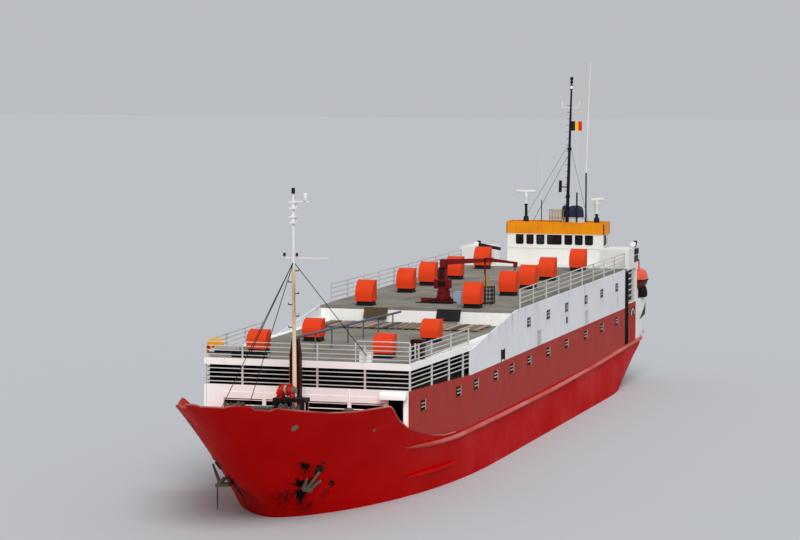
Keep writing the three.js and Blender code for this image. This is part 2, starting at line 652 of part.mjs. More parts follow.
// Rubbing strake with its own sheer, standing proud of the shell.
const strakePath = [
  { x: 20.35, z: 3.07 }, { x: 19.1, z: 3 }, { x: 17.9, z: 2.93 }, { x: 17, z: 2.89 }, { x: 16, z: 2.85 },
  { x: 15, z: 2.83 }, { x: 14, z: 2.81 }, { x: 13, z: 2.8 }, { x: 8, z: 2.76 }, { x: 1.7, z: 2.72 },
  { x: -10, z: 2.7 }, { x: -22.9, z: 2.85 }, { x: -33.3, z: 3.09 }, { x: -37.4, z: 3.18 }, { x: -38.2, z: 3.2 }, { x: -38.9, z: 3.22 }, { x: -39.5, z: 3.23 }, { x: -39.85, z: 3.24 },
];
const strakeHigh = 0.26;
const strakeProud = 0.2;
const strakeSunk = 0.03;
const strakeClear = 4 * seat;
const grown = ({ geometry }, clear, rises) => rises.map((rise) => (
  geometry.clone().scale(1, 1 + clear / side, 1).translate(0, 0, rise)
));
const strakeBacking = [hull, forecastle, sternBulwark, ...lowerSides].flatMap((piece) => (
  grown(piece, strakeClear, [-strakeClear, strakeClear])
));
for (const [name, sign] of sides) {
  const strake = loft(strakePath.map(({ x, z }, i) => {
    const back = halfBreadth(x, z);
    const proud = i === 0 ? 0.04 : strakeProud;
    const [low, high] = [z - strakeHigh / 2, z + strakeHigh / 2];
    return [
      [x, sign * (back - strakeSunk), low], [x, sign * (back + proud), low + 0.07],
      [x, sign * (back + proud), high - 0.07], [x, sign * (back - strakeSunk), high],
    ];
  }));
  add(`strake_${name}`, largest(cut(strake, strakeBacking)), hullRed);
}

// Accommodation block aft, with a casing on each quarter beside the bridge.
const casingInner = bridgeSide + 0.55;
add("aft_house", union(
  box(aftHouse.back, aftHouse.front, -aftHouse.half, aftHouse.half, foreBottom, upperDeckTop),
  ...sides.map(([, sign]) => {
    const [y0, y1] = [sign * casingInner, sign * side].sort((p, q) => p - q);
    return box(-37.3, slotEnd, y0, y1, upperDeckTop - 0.1, casingTop);
  }),
  ...sides.map(([, sign]) => {
    const [y0, y1] = [sign * (side - 0.35), sign * side].sort((p, q) => p - q);
    return box(-36.95, -36.55, y0, y1, sternTop + seat, casingTop - 0.2);
  }),
), white);

// Wheelhouse: thin walls with the windows and doorways cut.
const bridgeBack = -39.5;
const bridgeFloor = upperDeckTop + seat;
const bridgeWall = 0.1;
const windowLow = 10.3;
const windowHigh = 10.96;
const frontWindows = [[-3.03, -2.52], [-2.2, -1.73], [-1.42, -0.88], [-0.58, 0.47], [0.78, 1.3], [1.6, 2.11], [2.38, 2.91]];
const backWindows = [[-2.6, -1.7], [-0.5, 0.5], [1.7, 2.6]];
const bridgeDoorX = [-39.2, -38.45];
const bridgeDoorTop = 10.95;
const bridgeDoorFoot = bridgeFloor + 0.15;
const sill = (y0, y1, x0, x1) => box(x0, x1, y0, y1, windowLow, windowHigh);
add("wheelhouse", cut(
  box(bridgeBack, bridgeFront, -bridgeSide, bridgeSide, bridgeFloor, roofUnder),
  box(bridgeBack + bridgeWall, bridgeFront - bridgeWall, -bridgeSide + bridgeWall, bridgeSide - bridgeWall,
    bridgeFloor + bridgeWall, roofUnder + 1),
  frontWindows.map(([y0, y1]) => sill(y0, y1, bridgeFront - 1, bridgeFront + 1)),
  backWindows.map(([y0, y1]) => sill(y0, y1, bridgeBack - 1, bridgeBack + 1)),
  sill(-bridgeSide - 1, bridgeSide + 1, -38.3, -37.75),
  box(bridgeDoorX[0], bridgeDoorX[1], -bridgeSide - 1, bridgeSide + 1, bridgeDoorFoot, bridgeDoorTop),
), white);
const bridgeDoorWide = bridgeDoorX[1] - bridgeDoorX[0] - 2 * moveGap;
for (const [name, sign] of sides) {
  const [inner, outer] = [-sign * 0.06, 0].sort((p, q) => p - q);
  const hinge = (z) => rod([0, 0, z], [0, 0, z + 0.15], moveGap - seat, 16);
  const door = add(`bridge_door_${name}`, union(
    cut(
      box(-bridgeDoorWide, 0, inner, outer, 0, bridgeDoorTop - bridgeDoorFoot - 2 * moveGap),
      box(-bridgeDoorWide + 0.18, -0.18, -1, 1, 1.3, 1.75),
    ),
    hinge(0.2),
    hinge(1.5),
  ), white);
  door.position.set(bridgeDoorX[1] - moveGap, sign * bridgeSide, bridgeDoorFoot + moveGap);
}

// Monkey island: the roof tray with its deep yellow band, carrying the scanner posts.
const roofFoot = roofUnder + seat;
const trayFloor = 0.12;
const trayWall = 0.08;
const roofLap = 0.06;
const scannerPlaces = [
  { name: "starboard", x: -38.4, y: -2.5, top: 13.95, turn: 0 },
  { name: "port", x: -38.4, y: 3.04, top: 13.4, turn: 1.05 },
];
const trayTop = roofFoot + trayFloor;
const whipFoot = [-38.6, 2.15];
const postHeads = scannerPlaces.map(({ x, y, top }) => [
  rod([x, y, trayTop - 0.05], [x, y, trayTop + 1.1], 0.26, 12, 0.16),
  rod([x, y, trayTop + 1], [x, y, top - 0.15], 0.12, 10),
  rod([x, y, top - 0.2], [x, y, top], 0.12, 12, 0.24),
]);
add("bridge_roof", union(
  cut(
    box(bridgeBack - roofLap, bridgeFront + roofLap, -bridgeSide - roofLap, bridgeSide + roofLap, roofFoot, roofTop),
    box(bridgeBack - roofLap + trayWall, bridgeFront + roofLap - trayWall, -bridgeSide - roofLap + trayWall,
      bridgeSide + roofLap - trayWall, trayTop, roofTop + 1),
  ),
  ...postHeads,
  rod([whipFoot[0], whipFoot[1], trayTop - 0.05], [whipFoot[0], whipFoot[1], 15.2], 0.08, 8),
  rod([whipFoot[0], whipFoot[1], 15.1], [whipFoot[0], whipFoot[1], 24.2], 0.025, 6, 0.012),
), bandYellow);
const scannerWide = 1.45;
for (const { name, x, y, top, turn } of scannerPlaces) {
  const scanner = add(`scanner_${name}`, union(
    rod([0, 0, 0], [0, 0, 0.2], 0.1, 12),
    box(-0.09, 0.09, -scannerWide / 2, scannerWide / 2, 0.18, 0.4),
  ).rotateZ(turn), white);
  scanner.position.set(x, y, top + 2 * seat);
}

// Main mast, raked aft, with its crosstree, lamps and the whip beside it.
const mastFoot = [-38.25, 0.74, trayTop + seat];
const mastHead = [-39.1, 0.74, 23];
const alongMast = (z) => mastFoot[0] + ((mastHead[0] - mastFoot[0]) * (z - mastFoot[2])) / (mastHead[2] - mastFoot[2]);
add("main_mast", union(
  rod([mastFoot[0], mastFoot[1], mastFoot[2] + 0.03], mastHead, 0.13, 16, 0.06),
  rod([mastFoot[0], 0.74, mastFoot[2]], [mastFoot[0], 0.74, mastFoot[2] + 0.08], 0.3, 12),
  rod([alongMast(22.1), 0.74, 22.05], [alongMast(22.1), 0.74, 22.45], 0.14, 10),
  rod([alongMast(20.6), 0.74, 20.45], [alongMast(20.6), 0.74, 20.85], 0.14, 10),
  bar([alongMast(21.4), 0.3, 21.4], [alongMast(21.4), 2.2, 21.4], 0.07),
  bar([alongMast(21.4), -0.75, 21.4], [alongMast(21.4), 0.9, 21.4], 0.05),
  bar([alongMast(14.6), 0.1, 14.6], [alongMast(14.6), 0.8, 14.6], 0.09),
  rod([alongMast(14.6), 0.12, 14.2], [alongMast(14.6), 0.12, 15.1], 0.12, 8),
), black);
const coverFoot = trayTop + seat;
add("covered_gear", union(
  box(-39.3, -38.72, 0.3, 2.03, coverFoot, coverFoot + 1.1),
  box(-39.2, -38.78, 0.3, 0.85, coverFoot, coverFoot + 2),
  box(-39.2, -38.78, 1, 2, coverFoot, coverFoot + 2),
), paint(0x1b1c3a, 0.8));

// Ensign at the crosstree, a small cloth seen nearly edge to edge.
const flagFoot = 18.9;
const mastRadiusAt = (z) => 0.13 - (0.07 * (z - mastFoot[2])) / (mastHead[2] - mastFoot[2]);
const flag = add("flag", box(-0.01, 0.01, 0, 0.85, 0, 0.72), flagCloth);
flag.position.set(alongMast(flagFoot + 0.1), mastFoot[1] + mastRadiusAt(flagFoot) + seat, flagFoot);

// Foremast in its pedestal box, with yard, lamps and three standing stays.
const foreX = 23;
const foreFoot = foreDeckZ(foreX + 0.36) + seat;
const foreTop = 17.2;
const stayTop = 13.5;
const stayRadius = 0.03;
const stayEnds = [[30.6, -0.25], [27.9, -2.9], [21.3, 3.6], [21.3, -3.2]];
add("foremast", union(
  box(foreX - 0.36, foreX + 0.36, -0.36, 0.36, foreFoot, 9.25),
  rod([foreX, 0, 9], [foreX, 0, foreTop], 0.2, 10, 0.11),
  rod([foreX, 0, foreTop - 0.1], [foreX, 0, foreTop + 0.3], 0.16, 10),
  box(foreX - 0.2, foreX + 0.2, -0.2, 0.2, 16.35, 16.75),
  box(foreX - 0.2, foreX + 0.2, -0.2, 0.2, 15.65, 16.05),
  bar([foreX, 0, 16.85], [foreX, 0.95, 16.85], 0.07),
  rod([foreX, 0.8, 16.85], [foreX, 0.8, 17.3], 0.11, 8),
  bar([foreX, -0.65, 13.72], [foreX, 2.05, 13.72], 0.09),
  stayEnds.slice(0, 2).map(([x, y]) => rod([foreX, 0, stayTop], [x, y, foreDeckZ(x) + 0.03], stayRadius, 6)),
  stayEnds.slice(2).map(([x, y]) => rod([foreX, 0, stayTop], [x, y, foreDeckTop + 0.4], stayRadius, 6)),
), white);

// Mooring winch on a raised stand before the foremast.
const winch = { x: 24.1, y: -0.05, z: 6.55, half: 0.5 };
const winchFoot = foreDeckZ(winch.x + 0.38) + seat;
const standTop = 6.14;
add("mooring_winch", union(
  ...[-1, 1].flatMap((end) => [-0.3, 0.3].map((x) => box(
    winch.x + x - 0.08, winch.x + x + 0.08, winch.y + end * 0.6 - 0.08, winch.y + end * 0.6 + 0.08, winchFoot, standTop,
  ))),
  box(winch.x - 0.4, winch.x + 0.4, winch.y - 0.7, winch.y + 0.7, standTop - 0.14, standTop),
  ...[-1, 1].map((end) => box(
    winch.x - 0.25, winch.x + 0.25, winch.y + end * 0.3 - 0.06, winch.y + end * 0.3 + 0.06, standTop - 0.05, winch.z + 0.2,
  )),
  rod([winch.x, winch.y - winch.half, winch.z], [winch.x, winch.y + winch.half, winch.z], 0.2, 12),
  ...[-0.22, 0.22].map((y) => rod(
    [winch.x, winch.y + y - 0.05, winch.z], [winch.x, winch.y + y + 0.05, winch.z], 0.37, 16,
  )),
), paint(0xb81414));

// Windlass with two gypsies, further forward.
const windlassX = 28.4;
const windlassFoot = foreDeckZ(windlassX + 0.7) + seat * 2;
add("windlass", union(
  box(windlassX - 0.7, windlassX + 0.7, -2.1, 2.1, windlassFoot, windlassFoot + 0.2),
  box(windlassX - 0.4, windlassX + 0.4, -0.5, 0.5, windlassFoot + 0.15, windlassFoot + 1.1),
  rod([windlassX, -2, windlassFoot + 0.75], [windlassX, 2, windlassFoot + 0.75], 0.15, 8),
  ...[-1.9, -1.2, 1.2, 1.9].map((y) => rod(
    [windlassX, y - 0.15, windlassFoot + 0.75], [windlassX, y + 0.15, windlassFoot + 0.75], 0.45, 10,
  )),
  ...[-1.55, 1.55].map((y) => box(
    windlassX - 0.25, windlassX + 0.25, y - 0.08, y + 0.08, windlassFoot + 0.15, windlassFoot + 1,
  )),
), paint(0x3c3f41));

// Bower anchors housed against the flare of the bow, each shank running up into its hawse.
const hawse = { x: 27.8, z: 2.95 };
const crown = { x: 27.1, z: 1.4 };
const anchorProud = 0.14;
const anchorClear = 2 * seat;
const anchorBacking = [hull, forecastle].flatMap((piece) => grown(piece, anchorClear, [-anchorClear, 0, anchorClear]));
for (const [name, sign] of sides) {
  const onShell = ({ x, z }) => new THREE.Vector3(x, sign * halfBreadth(x, z), z);
  const top = onShell(hawse);
  const foot = onShell(crown);
  const up = top.clone().sub(foot);
  const long = up.length();
  up.normalize();
  const aft = onShell({ x: crown.x - 1, z: crown.z }).sub(foot);
  const out = aft.cross(up).multiplyScalar(sign).normalize();
  const frame = new THREE.Matrix4().makeBasis(up.clone().cross(out).multiplyScalar(-1), out, up);
  frame.setPosition(foot.addScaledVector(out, anchorProud));
  const anchor = union(
    rod([0, 0, 0], [0, 0, long], 0.13, 12),
    box(-0.46, 0.46, -0.2, 0.2, -0.26, 0.08),
    ...[-1, 1].map((end) => extrude([
      [end * 0.24, 0], [end * 0.5, 0], [end * 0.44, 0.98],
    ], -0.09, 0.09, "y")),
  ).applyMatrix4(frame);
  add(`anchor_${name}`, cut(anchor, anchorBacking), chainGrey);
}

// Propeller and rudder.
const propellerX = -33.75;
const blade = () => {
  const shape = new THREE.Shape();
  shape.moveTo(-0.14, 0.1);
  shape.quadraticCurveTo(-0.62, 0.75, -0.12, 1.15);
  shape.quadraticCurveTo(0.55, 1, 0.14, 0.1);
  const geometry = new THREE.ExtrudeGeometry(shape, { depth: 0.06, bevelEnabled: false, curveSegments: 4 });
  return geometry.translate(0, 0, -0.03).rotateY(THREE.MathUtils.degToRad(62));
};
const propeller = add("propeller", union(
  rod([-0.3, 0, 0], [0.3, 0, 0], 0.22, 16),
  rod([-0.5, 0, 0], [-0.25, 0, 0], 0.06, 16, 0.22),
  rod([0.2, 0, 0], [1.6, 0, 0], shaftRadius, 32),
  ...[0, 1, 2, 3].map((i) => blade().rotateX((i * Math.PI) / 2)),
), brass);
propeller.position.set(propellerX, 0, shaftZ);
const rudderLow = -3.75;
const rudderHigh = -1.05;
const rudder = add("rudder", union(
  extrude([[0.35, 0], [0.2, 0.14], [-0.3, 0.14], [-1.35, 0.03], [-1.35, -0.03], [-0.3, -0.14], [0.2, -0.14]],
    rudderLow, rudderHigh),
  rod([0, 0, -2], [0, 0, 0.2], shaftRadius, 32),
), hullRed);
rudder.position.set(stockX, 0, 0);

// Rescue boat on its davit at the port quarter.
const boatPlace = { x: -38.4, y: 6.35, z: 7.75 };
const boatLong = 2.8;
const boatHalf = 0.64;
const boatSections = [-1, -0.8, -0.45, 0, 0.45, 0.8, 1].map((t) => {
  const full = Math.sqrt(Math.max(1 - t * t * 0.93, 0));
  const x = (t * boatLong) / 2;
  const port = [
    [x, 0.02, -0.75 + 0.25 * t * t], [x, boatHalf * 0.6 * full, -0.6 + 0.2 * t * t], [x, boatHalf * full, -0.1],
    [x, boatHalf * full, 0.1], [x, boatHalf * 0.75 * full, 0.55 - 0.2 * t * t], [x, 0.02, 0.75 - 0.35 * t * t],
  ];
  return [...port, ...port.map(([px, y, z]) => [px, -y, z]).reverse()];
});
const davit = new THREE.Group();
davit.position.set(davitFoot[0], davitFoot[1], davitZ);
ship.add(davit);
const armKnee = [-0.15, 2.25];
const armTop = [boatPlace.y - davitFoot[1], 2.95];
add("davit_arm", union(
  bar([0, 0, -0.02], [0, ...armKnee], 0.16),
  bar([0, armKnee[0], armKnee[1] - 0.06], [0, ...armTop], 0.16),
  rod([-0.14 + seat, 0, 0], [0.14 - seat, 0, 0], 0.1, 12),
), craneRed, davit);
const boat = add("rescue_boat", union(
  loft(boatSections),
  box(-0.06, 0.06, -0.05, 0.05, 0.6, armTop[1] + davitZ - boatPlace.z - 0.1372),
), boatOrange);
boat.position.set(boatPlace.x, boatPlace.y, boatPlace.z);

export default ship;
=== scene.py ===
import math

import bmesh
import bpy
import numpy as np
from mathutils import Matrix, Vector


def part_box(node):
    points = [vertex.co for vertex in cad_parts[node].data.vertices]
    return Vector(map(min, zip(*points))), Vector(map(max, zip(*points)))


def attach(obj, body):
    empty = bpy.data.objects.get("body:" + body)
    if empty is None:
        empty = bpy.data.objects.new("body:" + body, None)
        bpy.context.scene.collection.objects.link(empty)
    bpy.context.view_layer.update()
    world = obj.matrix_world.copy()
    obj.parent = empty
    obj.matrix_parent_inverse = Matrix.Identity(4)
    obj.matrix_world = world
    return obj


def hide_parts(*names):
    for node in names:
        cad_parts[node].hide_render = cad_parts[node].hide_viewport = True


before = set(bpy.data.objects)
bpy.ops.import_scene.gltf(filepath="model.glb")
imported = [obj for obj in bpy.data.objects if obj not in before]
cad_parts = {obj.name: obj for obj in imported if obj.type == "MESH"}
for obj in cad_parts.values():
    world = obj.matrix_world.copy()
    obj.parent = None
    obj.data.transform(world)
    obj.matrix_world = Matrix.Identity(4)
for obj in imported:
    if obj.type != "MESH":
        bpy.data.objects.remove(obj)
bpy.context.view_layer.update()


# Studio: a plain pale floor at the waterline, a pale sky all round and a hazy sun off the port bow.
# The floor is matt card, so the hull meets it without a glare.
def linear(code):
    """An sRGB hex value as linear red, green, blue and alpha."""
    parts = [int(code[i:i + 2], 16) / 255 for i in (1, 3, 5)]
    return (*[p / 12.92 if p <= 0.04045 else ((p + 0.055) / 1.055) ** 2.4 for p in parts], 1.0)


def new_material(name, roughness=0.5, colour=None):
    """A material with its node tree and shader."""
    made = bpy.data.materials.new(name)
    made.use_nodes = True
    shader = made.node_tree.nodes["Principled BSDF"]
    shader.inputs["Roughness"].default_value = roughness
    if colour:
        shader.inputs["Base Color"].default_value = linear(colour)
    return made, made.node_tree, shader


studio = bpy.context.scene
floor_reach = 400
floor_mesh = bpy.data.meshes.new("floor")
floor_corners = [(a * floor_reach, b * floor_reach, 0) for a, b in ((-1, -1), (1, -1), (1, 1), (-1, 1))]
floor_mesh.from_pydata(floor_corners, [], [(0, 1, 2, 3)])
floor_mesh.materials.append(new_material("matt card", 0.9, "#bbbdc0")[0])
floor = bpy.data.objects.new("floor", floor_mesh)
studio.collection.objects.link(floor)

sky = bpy.data.worlds.new("pale sky")
sky.use_nodes = True
sky.node_tree.nodes["Background"].inputs["Color"].default_value = (0.5, 0.515, 0.535, 1)
sky.node_tree.nodes["Background"].inputs["Strength"].default_value = 1.0
studio.world = sky
studio.view_settings.view_transform = "Standard"
sun = bpy.data.lights.new("hazy sun", "SUN")
sun.energy = 2.3
sun.angle = math.radians(35)
sun_object = bpy.data.objects.new("hazy sun", sun)
sun_object.rotation_euler = Vector((-0.64, -0.31, -0.7)).to_track_quat("-Z", "Y").to_euler()
studio.collection.objects.link(sun_object)

# Camera: a long lens off the port bow, high enough to look over the fore deck, placed and turned so
# that the ship stands in the frame as it does in the photo.
lens = bpy.data.cameras.new("camera")
lens.lens = 120.53
lens.sensor_width = 36
lens.clip_end = 1200
camera = bpy.data.objects.new("camera", lens)
camera.location = (79.247, 23.586, 12.283)
yaw, pitch = math.radians(196.89), math.radians(-4.67)
look = Vector((math.cos(yaw) * math.cos(pitch), math.sin(yaw) * math.cos(pitch), math.sin(pitch)))
camera.rotation_euler = look.to_track_quat("-Z", "Y").to_euler()
studio.collection.objects.link(camera)
studio.camera = camera

# Hull shell: welded steel from the keel to the forecastle's bulwark, in one fair surface, with the
# rail's notches at the bow and the sweep down to the main deck. Red enamel, glossy at the bow.
beam = 6.4
# Lengths are in modules of a thirteenth of the beam, as the ship is drawn; one module is close to
# half a metre of this 1:2 model. +X is the bow, +Y is port and z = 0 is the waterline.
module = beam / 13
shell_rows = [
    # z, stem, entrance, fullness, roundness, half beam, stern, run, half width at the stern
    (-3.9, 22, 17, 1.9, 1, 5.5, -30, 16, 0.25),
    (-3.4, 23.6, 19, 2, 0.9, 6.25, -31, 15.5, 0.25),
    (-2.2, 25, 21, 2.15, 0.75, 6.5, -33, 15, 0.3),
    (-1.1, 25.9, 22.4, 2.2, 0.67, 6.5, -33.2, 13, 0.35),
    (-0.55, 26.3, 22.6, 2.22, 0.64, 6.5, -37.3, 13.2, 0.45),
    (0, 26.8, 22.7, 2.22, 0.62, 6.5, -38.4, 12, 0.6),
    (1.04, 28, 20.9, 2, 0.61, 6.5, -38.9, 8.7, 2.2),
    (2.02, 29.2, 19.2, 1.8, 0.6, 6.5, -39.4, 5.6, 3.7),
    (3, 30.4, 17.4, 1.64, 0.58, 6.5, -39.9, 2.5, 5.2),
    (5.3, 33.4, 13, 1.25, 0.55, 6.5, -39.9, 2.5, 5.2),
    (7.9, 36.9, 7.85, 0.8, 0.5, 6.5, -39.9, 2.5, 5.2),
]
keel_z = shell_rows[0][0]
row_z = np.array([row[0] for row in shell_rows], float)
row_values = np.array([row[1:] for row in shell_rows], float)
row_rises = np.diff(row_values, axis=0) / np.diff(row_z)[:, None]
row_slopes = np.zeros_like(row_values)
row_slopes[0], row_slopes[-1] = row_rises[0], row_rises[-1]
for r in range(1, len(shell_rows) - 1):
    before, after = row_rises[r - 1], row_rises[r]
    same = before * after > 0
    row_slopes[r][same] = 2 * before[same] * after[same] / (before[same] + after[same])


def waterline(z):
    """The shell's eight measures at a height, eased between the rows."""
    z = min(max(z, row_z[0]), row_z[-1])
    r = min(int(np.searchsorted(row_z, z, side="right")) - 1, len(row_z) - 2)
    step = row_z[r + 1] - row_z[r]
    t = (z - row_z[r]) / step
    return ((2 * t**3 - 3 * t**2 + 1) * row_values[r] + (t**3 - 2 * t**2 + t) * step * row_slopes[r]
            + (3 * t**2 - 2 * t**3) * row_values[r + 1] + (t**3 - t**2) * step * row_slopes[r + 1])


def half_breadth(x, z):
    stem, entrance, fullness, roundness, half, stern, run, end = waterline(z)
    ahead = (x - stem + entrance) / entrance
    if ahead > 0:
        return max(half * max(1 - min(ahead, 1) ** fullness, 0) ** roundness, 0.06)
    astern = min((stern + run - x) / run, 1)
    if astern > 0:
        return end + (half - end) * math.sqrt(max(1 - astern**3, 0))
    return half


house_front = 21.1
main_deck = 3.0
fore_deck_low, fore_deck_high = 4.2, 5.9
deck_stem_x = waterline(fore_deck_high)[0]
rail_top = [
    (-40, 3), (12.4, 3), (13, 3.06), (15.5, 3.16), (17.1, 3.37), (19.1, 3.78), (21.09, 4.29), (22.6, 4.91),
    (23.6, 5.45), (24.3, 5.86), (24.8, 5.97), (26.6, 6.0), (28, 6.03), (29.9, 6.21), (31.7, 6.5), (33, 6.73),
    (33.7, 6.85), (33.75, 6.72), (34.65, 6.87), (34.7, 7.01), (35.4, 7.13), (35.66, 7.18), (35.68, 7.08),
    (35.9, 7.12), (35.92, 7.22), (36, 7.24),
]


def top_z(x):
    return float(np.interp(x, [p[0] for p in rail_top], [p[1] for p in rail_top]))


def bow_deck_z(x):
    return fore_deck_low + (fore_deck_high - fore_deck_low) * (x - house_front) / (deck_stem_x - house_front)


def shell_x(share, z):
    stem, stern = waterline(z)[0], waterline(z)[5]
    return stern + (stem - stern) * share


shell_shares = np.unique(np.concatenate([
    np.linspace(0, 0.06, 26), np.linspace(0.06, 0.25, 26), np.linspace(0.25, 0.62, 30),
    np.linspace(0.62, 0.9, 90), 0.9 + 0.1 * np.sin(np.linspace(0, math.pi / 2, 70)),
]))
shell_levels = 52
bulwark_thick = 0.07
rake_x, rail_end, rail_start = 24.0, 36.0, 13.4
shell_corners, shell_faces, rail_line = [], [], []
for share in shell_shares:
    # The rail's height depends on x and the shell's x on the height, so they are brought together in steps.
    z = 6.0
    for _ in range(25):
        z = 0.5 * z + 0.5 * top_z(shell_x(share, z))
    ring = []
    for level in np.linspace(0, 1, shell_levels):
        lift = keel_z + (z - keel_z) * level**0.85
        x = shell_x(share, lift)
        ring.append((x, half_breadth(x, lift), lift))
    x, y, z = ring[-1]
    # The bulwark's inner face lies one thickness inboard, square to its line in plan.
    slope = (half_breadth(x + 0.02, z) - half_breadth(x - 0.02, z)) / 0.04
    inboard = bulwark_thick / math.hypot(slope, 1)
    in_x, in_y = x + slope * inboard, max(y - inboard, 0.01)
    foot_x = x if x < rake_x else rake_x + (x - rake_x) * (deck_stem_x - rake_x) / (rail_end - rake_x)
    floor_z = main_deck if x < house_front else bow_deck_z(foot_x)
    foot_x -= 0.05 if x > rake_x else 0
    ring += [(in_x, in_y, z), (foot_x, max(half_breadth(foot_x, floor_z) - bulwark_thick, 0.01), floor_z),
             (foot_x, 0.0, floor_z)]
    if x > rail_start:
        rail_line.append(((x + in_x) / 2, (y + in_y) / 2, z))
    start = len(shell_corners)
    shell_corners += ring + [(px, -py, pz) for px, py, pz in ring]
    if start:
        count = len(ring)
        last = start - 2 * count
        for k in range(count - 1):
            shell_faces.append((last + k, last + k + 1, start + k + 1, start + k))
            far, near = last + count + k, start + count + k
            shell_faces.append((far, near, near + 1, far + 1))
        shell_faces.append((last, start, start + count, last + count))
count = shell_levels + 3
for start in (0, len(shell_corners) - 2 * count):
    for k in range(count - 1):
        shell_faces.append((start + k, start + k + 1, start + count + k + 1, start + count + k))


def add_node(tree, kind, settings=None, links=None):
    """Adds a shader node, sets its properties and sockets, and links its inputs."""
    made = tree.nodes.new(kind)
    for key, value in (settings or {}).items():
        if isinstance(key, str) and hasattr(made, key):
            setattr(made, key, value)
        else:
            made.inputs[key].default_value = value
    for key, socket in (links or {}).items():
        tree.links.new(socket, made.inputs[key])
    return made


def enamel(name, colour, chalked, rust="#6e3a1e", chalk=0.5, runs=0.3, spots=0.2, roughness=0.45,
           seams=None, dent=0.25, stain_colour=None, shine=0.12):
    """Brushed alkyd enamel over steel: half glossy, uneven, chalked by the sun, with rust in thin runs."""
    paint, tree, shader = new_material(name)
    shader.inputs["Metallic"].default_value = 0.0
    shader.inputs["IOR"].default_value = 1.5
    shader.inputs["Specular IOR Level"].default_value = shine
    where = add_node(tree, "ShaderNodeTexCoord").outputs["Object"]
    # The sun has chalked the paint in patches of 1.8 m, broken up finer towards their edges.
    broad = add_node(tree, "ShaderNodeTexNoise", {"Scale": 0.55, "Detail": 5.0, "Roughness": 0.6},
                     {"Vector": where})
    chalking = add_node(tree, "ShaderNodeMapRange", {"From Min": 0.35, "From Max": 0.7, "To Max": chalk},
                        {"Value": broad.outputs["Fac"]})
    film = add_node(tree, "ShaderNodeMix", {"data_type": "RGBA", 6: linear(colour), 7: linear(chalked)},
                    {0: chalking.outputs["Result"]})
    # Runs are drawn out down the plate: 90 mm wide and over a metre long on this model.
    drawn = add_node(tree, "ShaderNodeMapping", {"Scale": (7.0, 7.0, 0.45)}, {"Vector": where})
    run_noise = add_node(tree, "ShaderNodeTexNoise", {"Scale": 1.6, "Detail": 6.0, "Roughness": 0.65},
                         {"Vector": drawn.outputs["Vector"]})
    run_mask = add_node(tree, "ShaderNodeMapRange", {"From Min": 0.56, "From Max": 0.8, "To Max": runs},
                        {"Value": run_noise.outputs["Fac"]})
    streaked = add_node(tree, "ShaderNodeMix", {"data_type": "RGBA", 7: linear(rust)},
                        {0: run_mask.outputs["Result"], 6: film.outputs[2]})
    # A stain shows through the same runs, and where it is strongest it cakes into solid colour.
    stain_mark = add_node(tree, "ShaderNodeAttribute", {"attribute_name": "stain"})
    stain_noise = add_node(tree, "ShaderNodeMapRange", {"From Min": 0.36, "From Max": 0.62},
                           {"Value": run_noise.outputs["Fac"]})
    caked = add_node(tree, "ShaderNodeMapRange", {"From Min": 1.1, "From Max": 2.2},
                     {"Value": stain_mark.outputs["Fac"]})
    stain_mask = add_node(tree, "ShaderNodeMath", {"operation": "MULTIPLY_ADD", "use_clamp": True},
                          {0: stain_mark.outputs["Fac"], 1: stain_noise.outputs["Result"],
                           2: caked.outputs["Result"]})
    stained = add_node(tree, "ShaderNodeMix", {"data_type": "RGBA", 7: linear(stain_colour or rust)},
                       {0: stain_mask.outputs["Value"], 6: streaked.outputs[2]})
    # Rust spots come in groups 200 mm wide, and single ones are a few millimetres across.
    pitted = add_node(tree, "ShaderNodeTexNoise", {"Scale": 5.0, "Detail": 8.0, "Roughness": 0.7},
                      {"Vector": where})
    spot_mask = add_node(tree, "ShaderNodeMapRange", {"From Min": 0.66, "From Max": 0.72, "To Max": spots},
                         {"Value": pitted.outputs["Fac"]})
    spotted = add_node(tree, "ShaderNodeMix", {"data_type": "RGBA", 7: linear(rust)},
                       {0: spot_mask.outputs["Result"], 6: stained.outputs[2]})
    tree.links.new(spotted.outputs[2], shader.inputs["Base Color"])
    dulled = add_node(tree, "ShaderNodeMapRange", {"From Min": 0.3, "From Max": 0.7,
                                                   "To Min": roughness - 0.08, "To Max": roughness + 0.2},
                      {"Value": broad.outputs["Fac"]})
    tree.links.new(dulled.outputs["Result"], shader.inputs["Roughness"])
    # The plates have dents 670 mm wide, coarser than between real frames, so that they show.
    waves = add_node(tree, "ShaderNodeTexNoise", {"Scale": 1.5, "Detail": 2.0}, {"Vector": where})
    height = waves.outputs["Fac"]
    if seams:
        # Weld seams 6 mm wide run round plates as long and as high as seams gives, in metres.
        turned = add_node(tree, "ShaderNodeMapping", {"Rotation": (math.pi / 2, 0, 0)}, {"Vector": where})
        plates = add_node(tree, "ShaderNodeTexBrick", {
            "Scale": 1.0, "Mortar Size": 0.006, "Mortar Smooth": 0.6, "Brick Width": seams[0],
            "Row Height": seams[1], "Color1": (1, 1, 1, 1), "Color2": (1, 1, 1, 1), "Mortar": (0, 0, 0, 1),
        }, {"Vector": turned.outputs["Vector"]})
        height = add_node(tree, "ShaderNodeMix", {"data_type": "FLOAT", 0: 0.35},
                          {2: waves.outputs["Fac"], 3: plates.outputs["Color"]}).outputs[0]
    bumpy = add_node(tree, "ShaderNodeBump", {"Strength": dent, "Distance": 0.02}, {"Height": height})
    tree.links.new(bumpy.outputs["Normal"], shader.inputs["Normal"])
    return paint


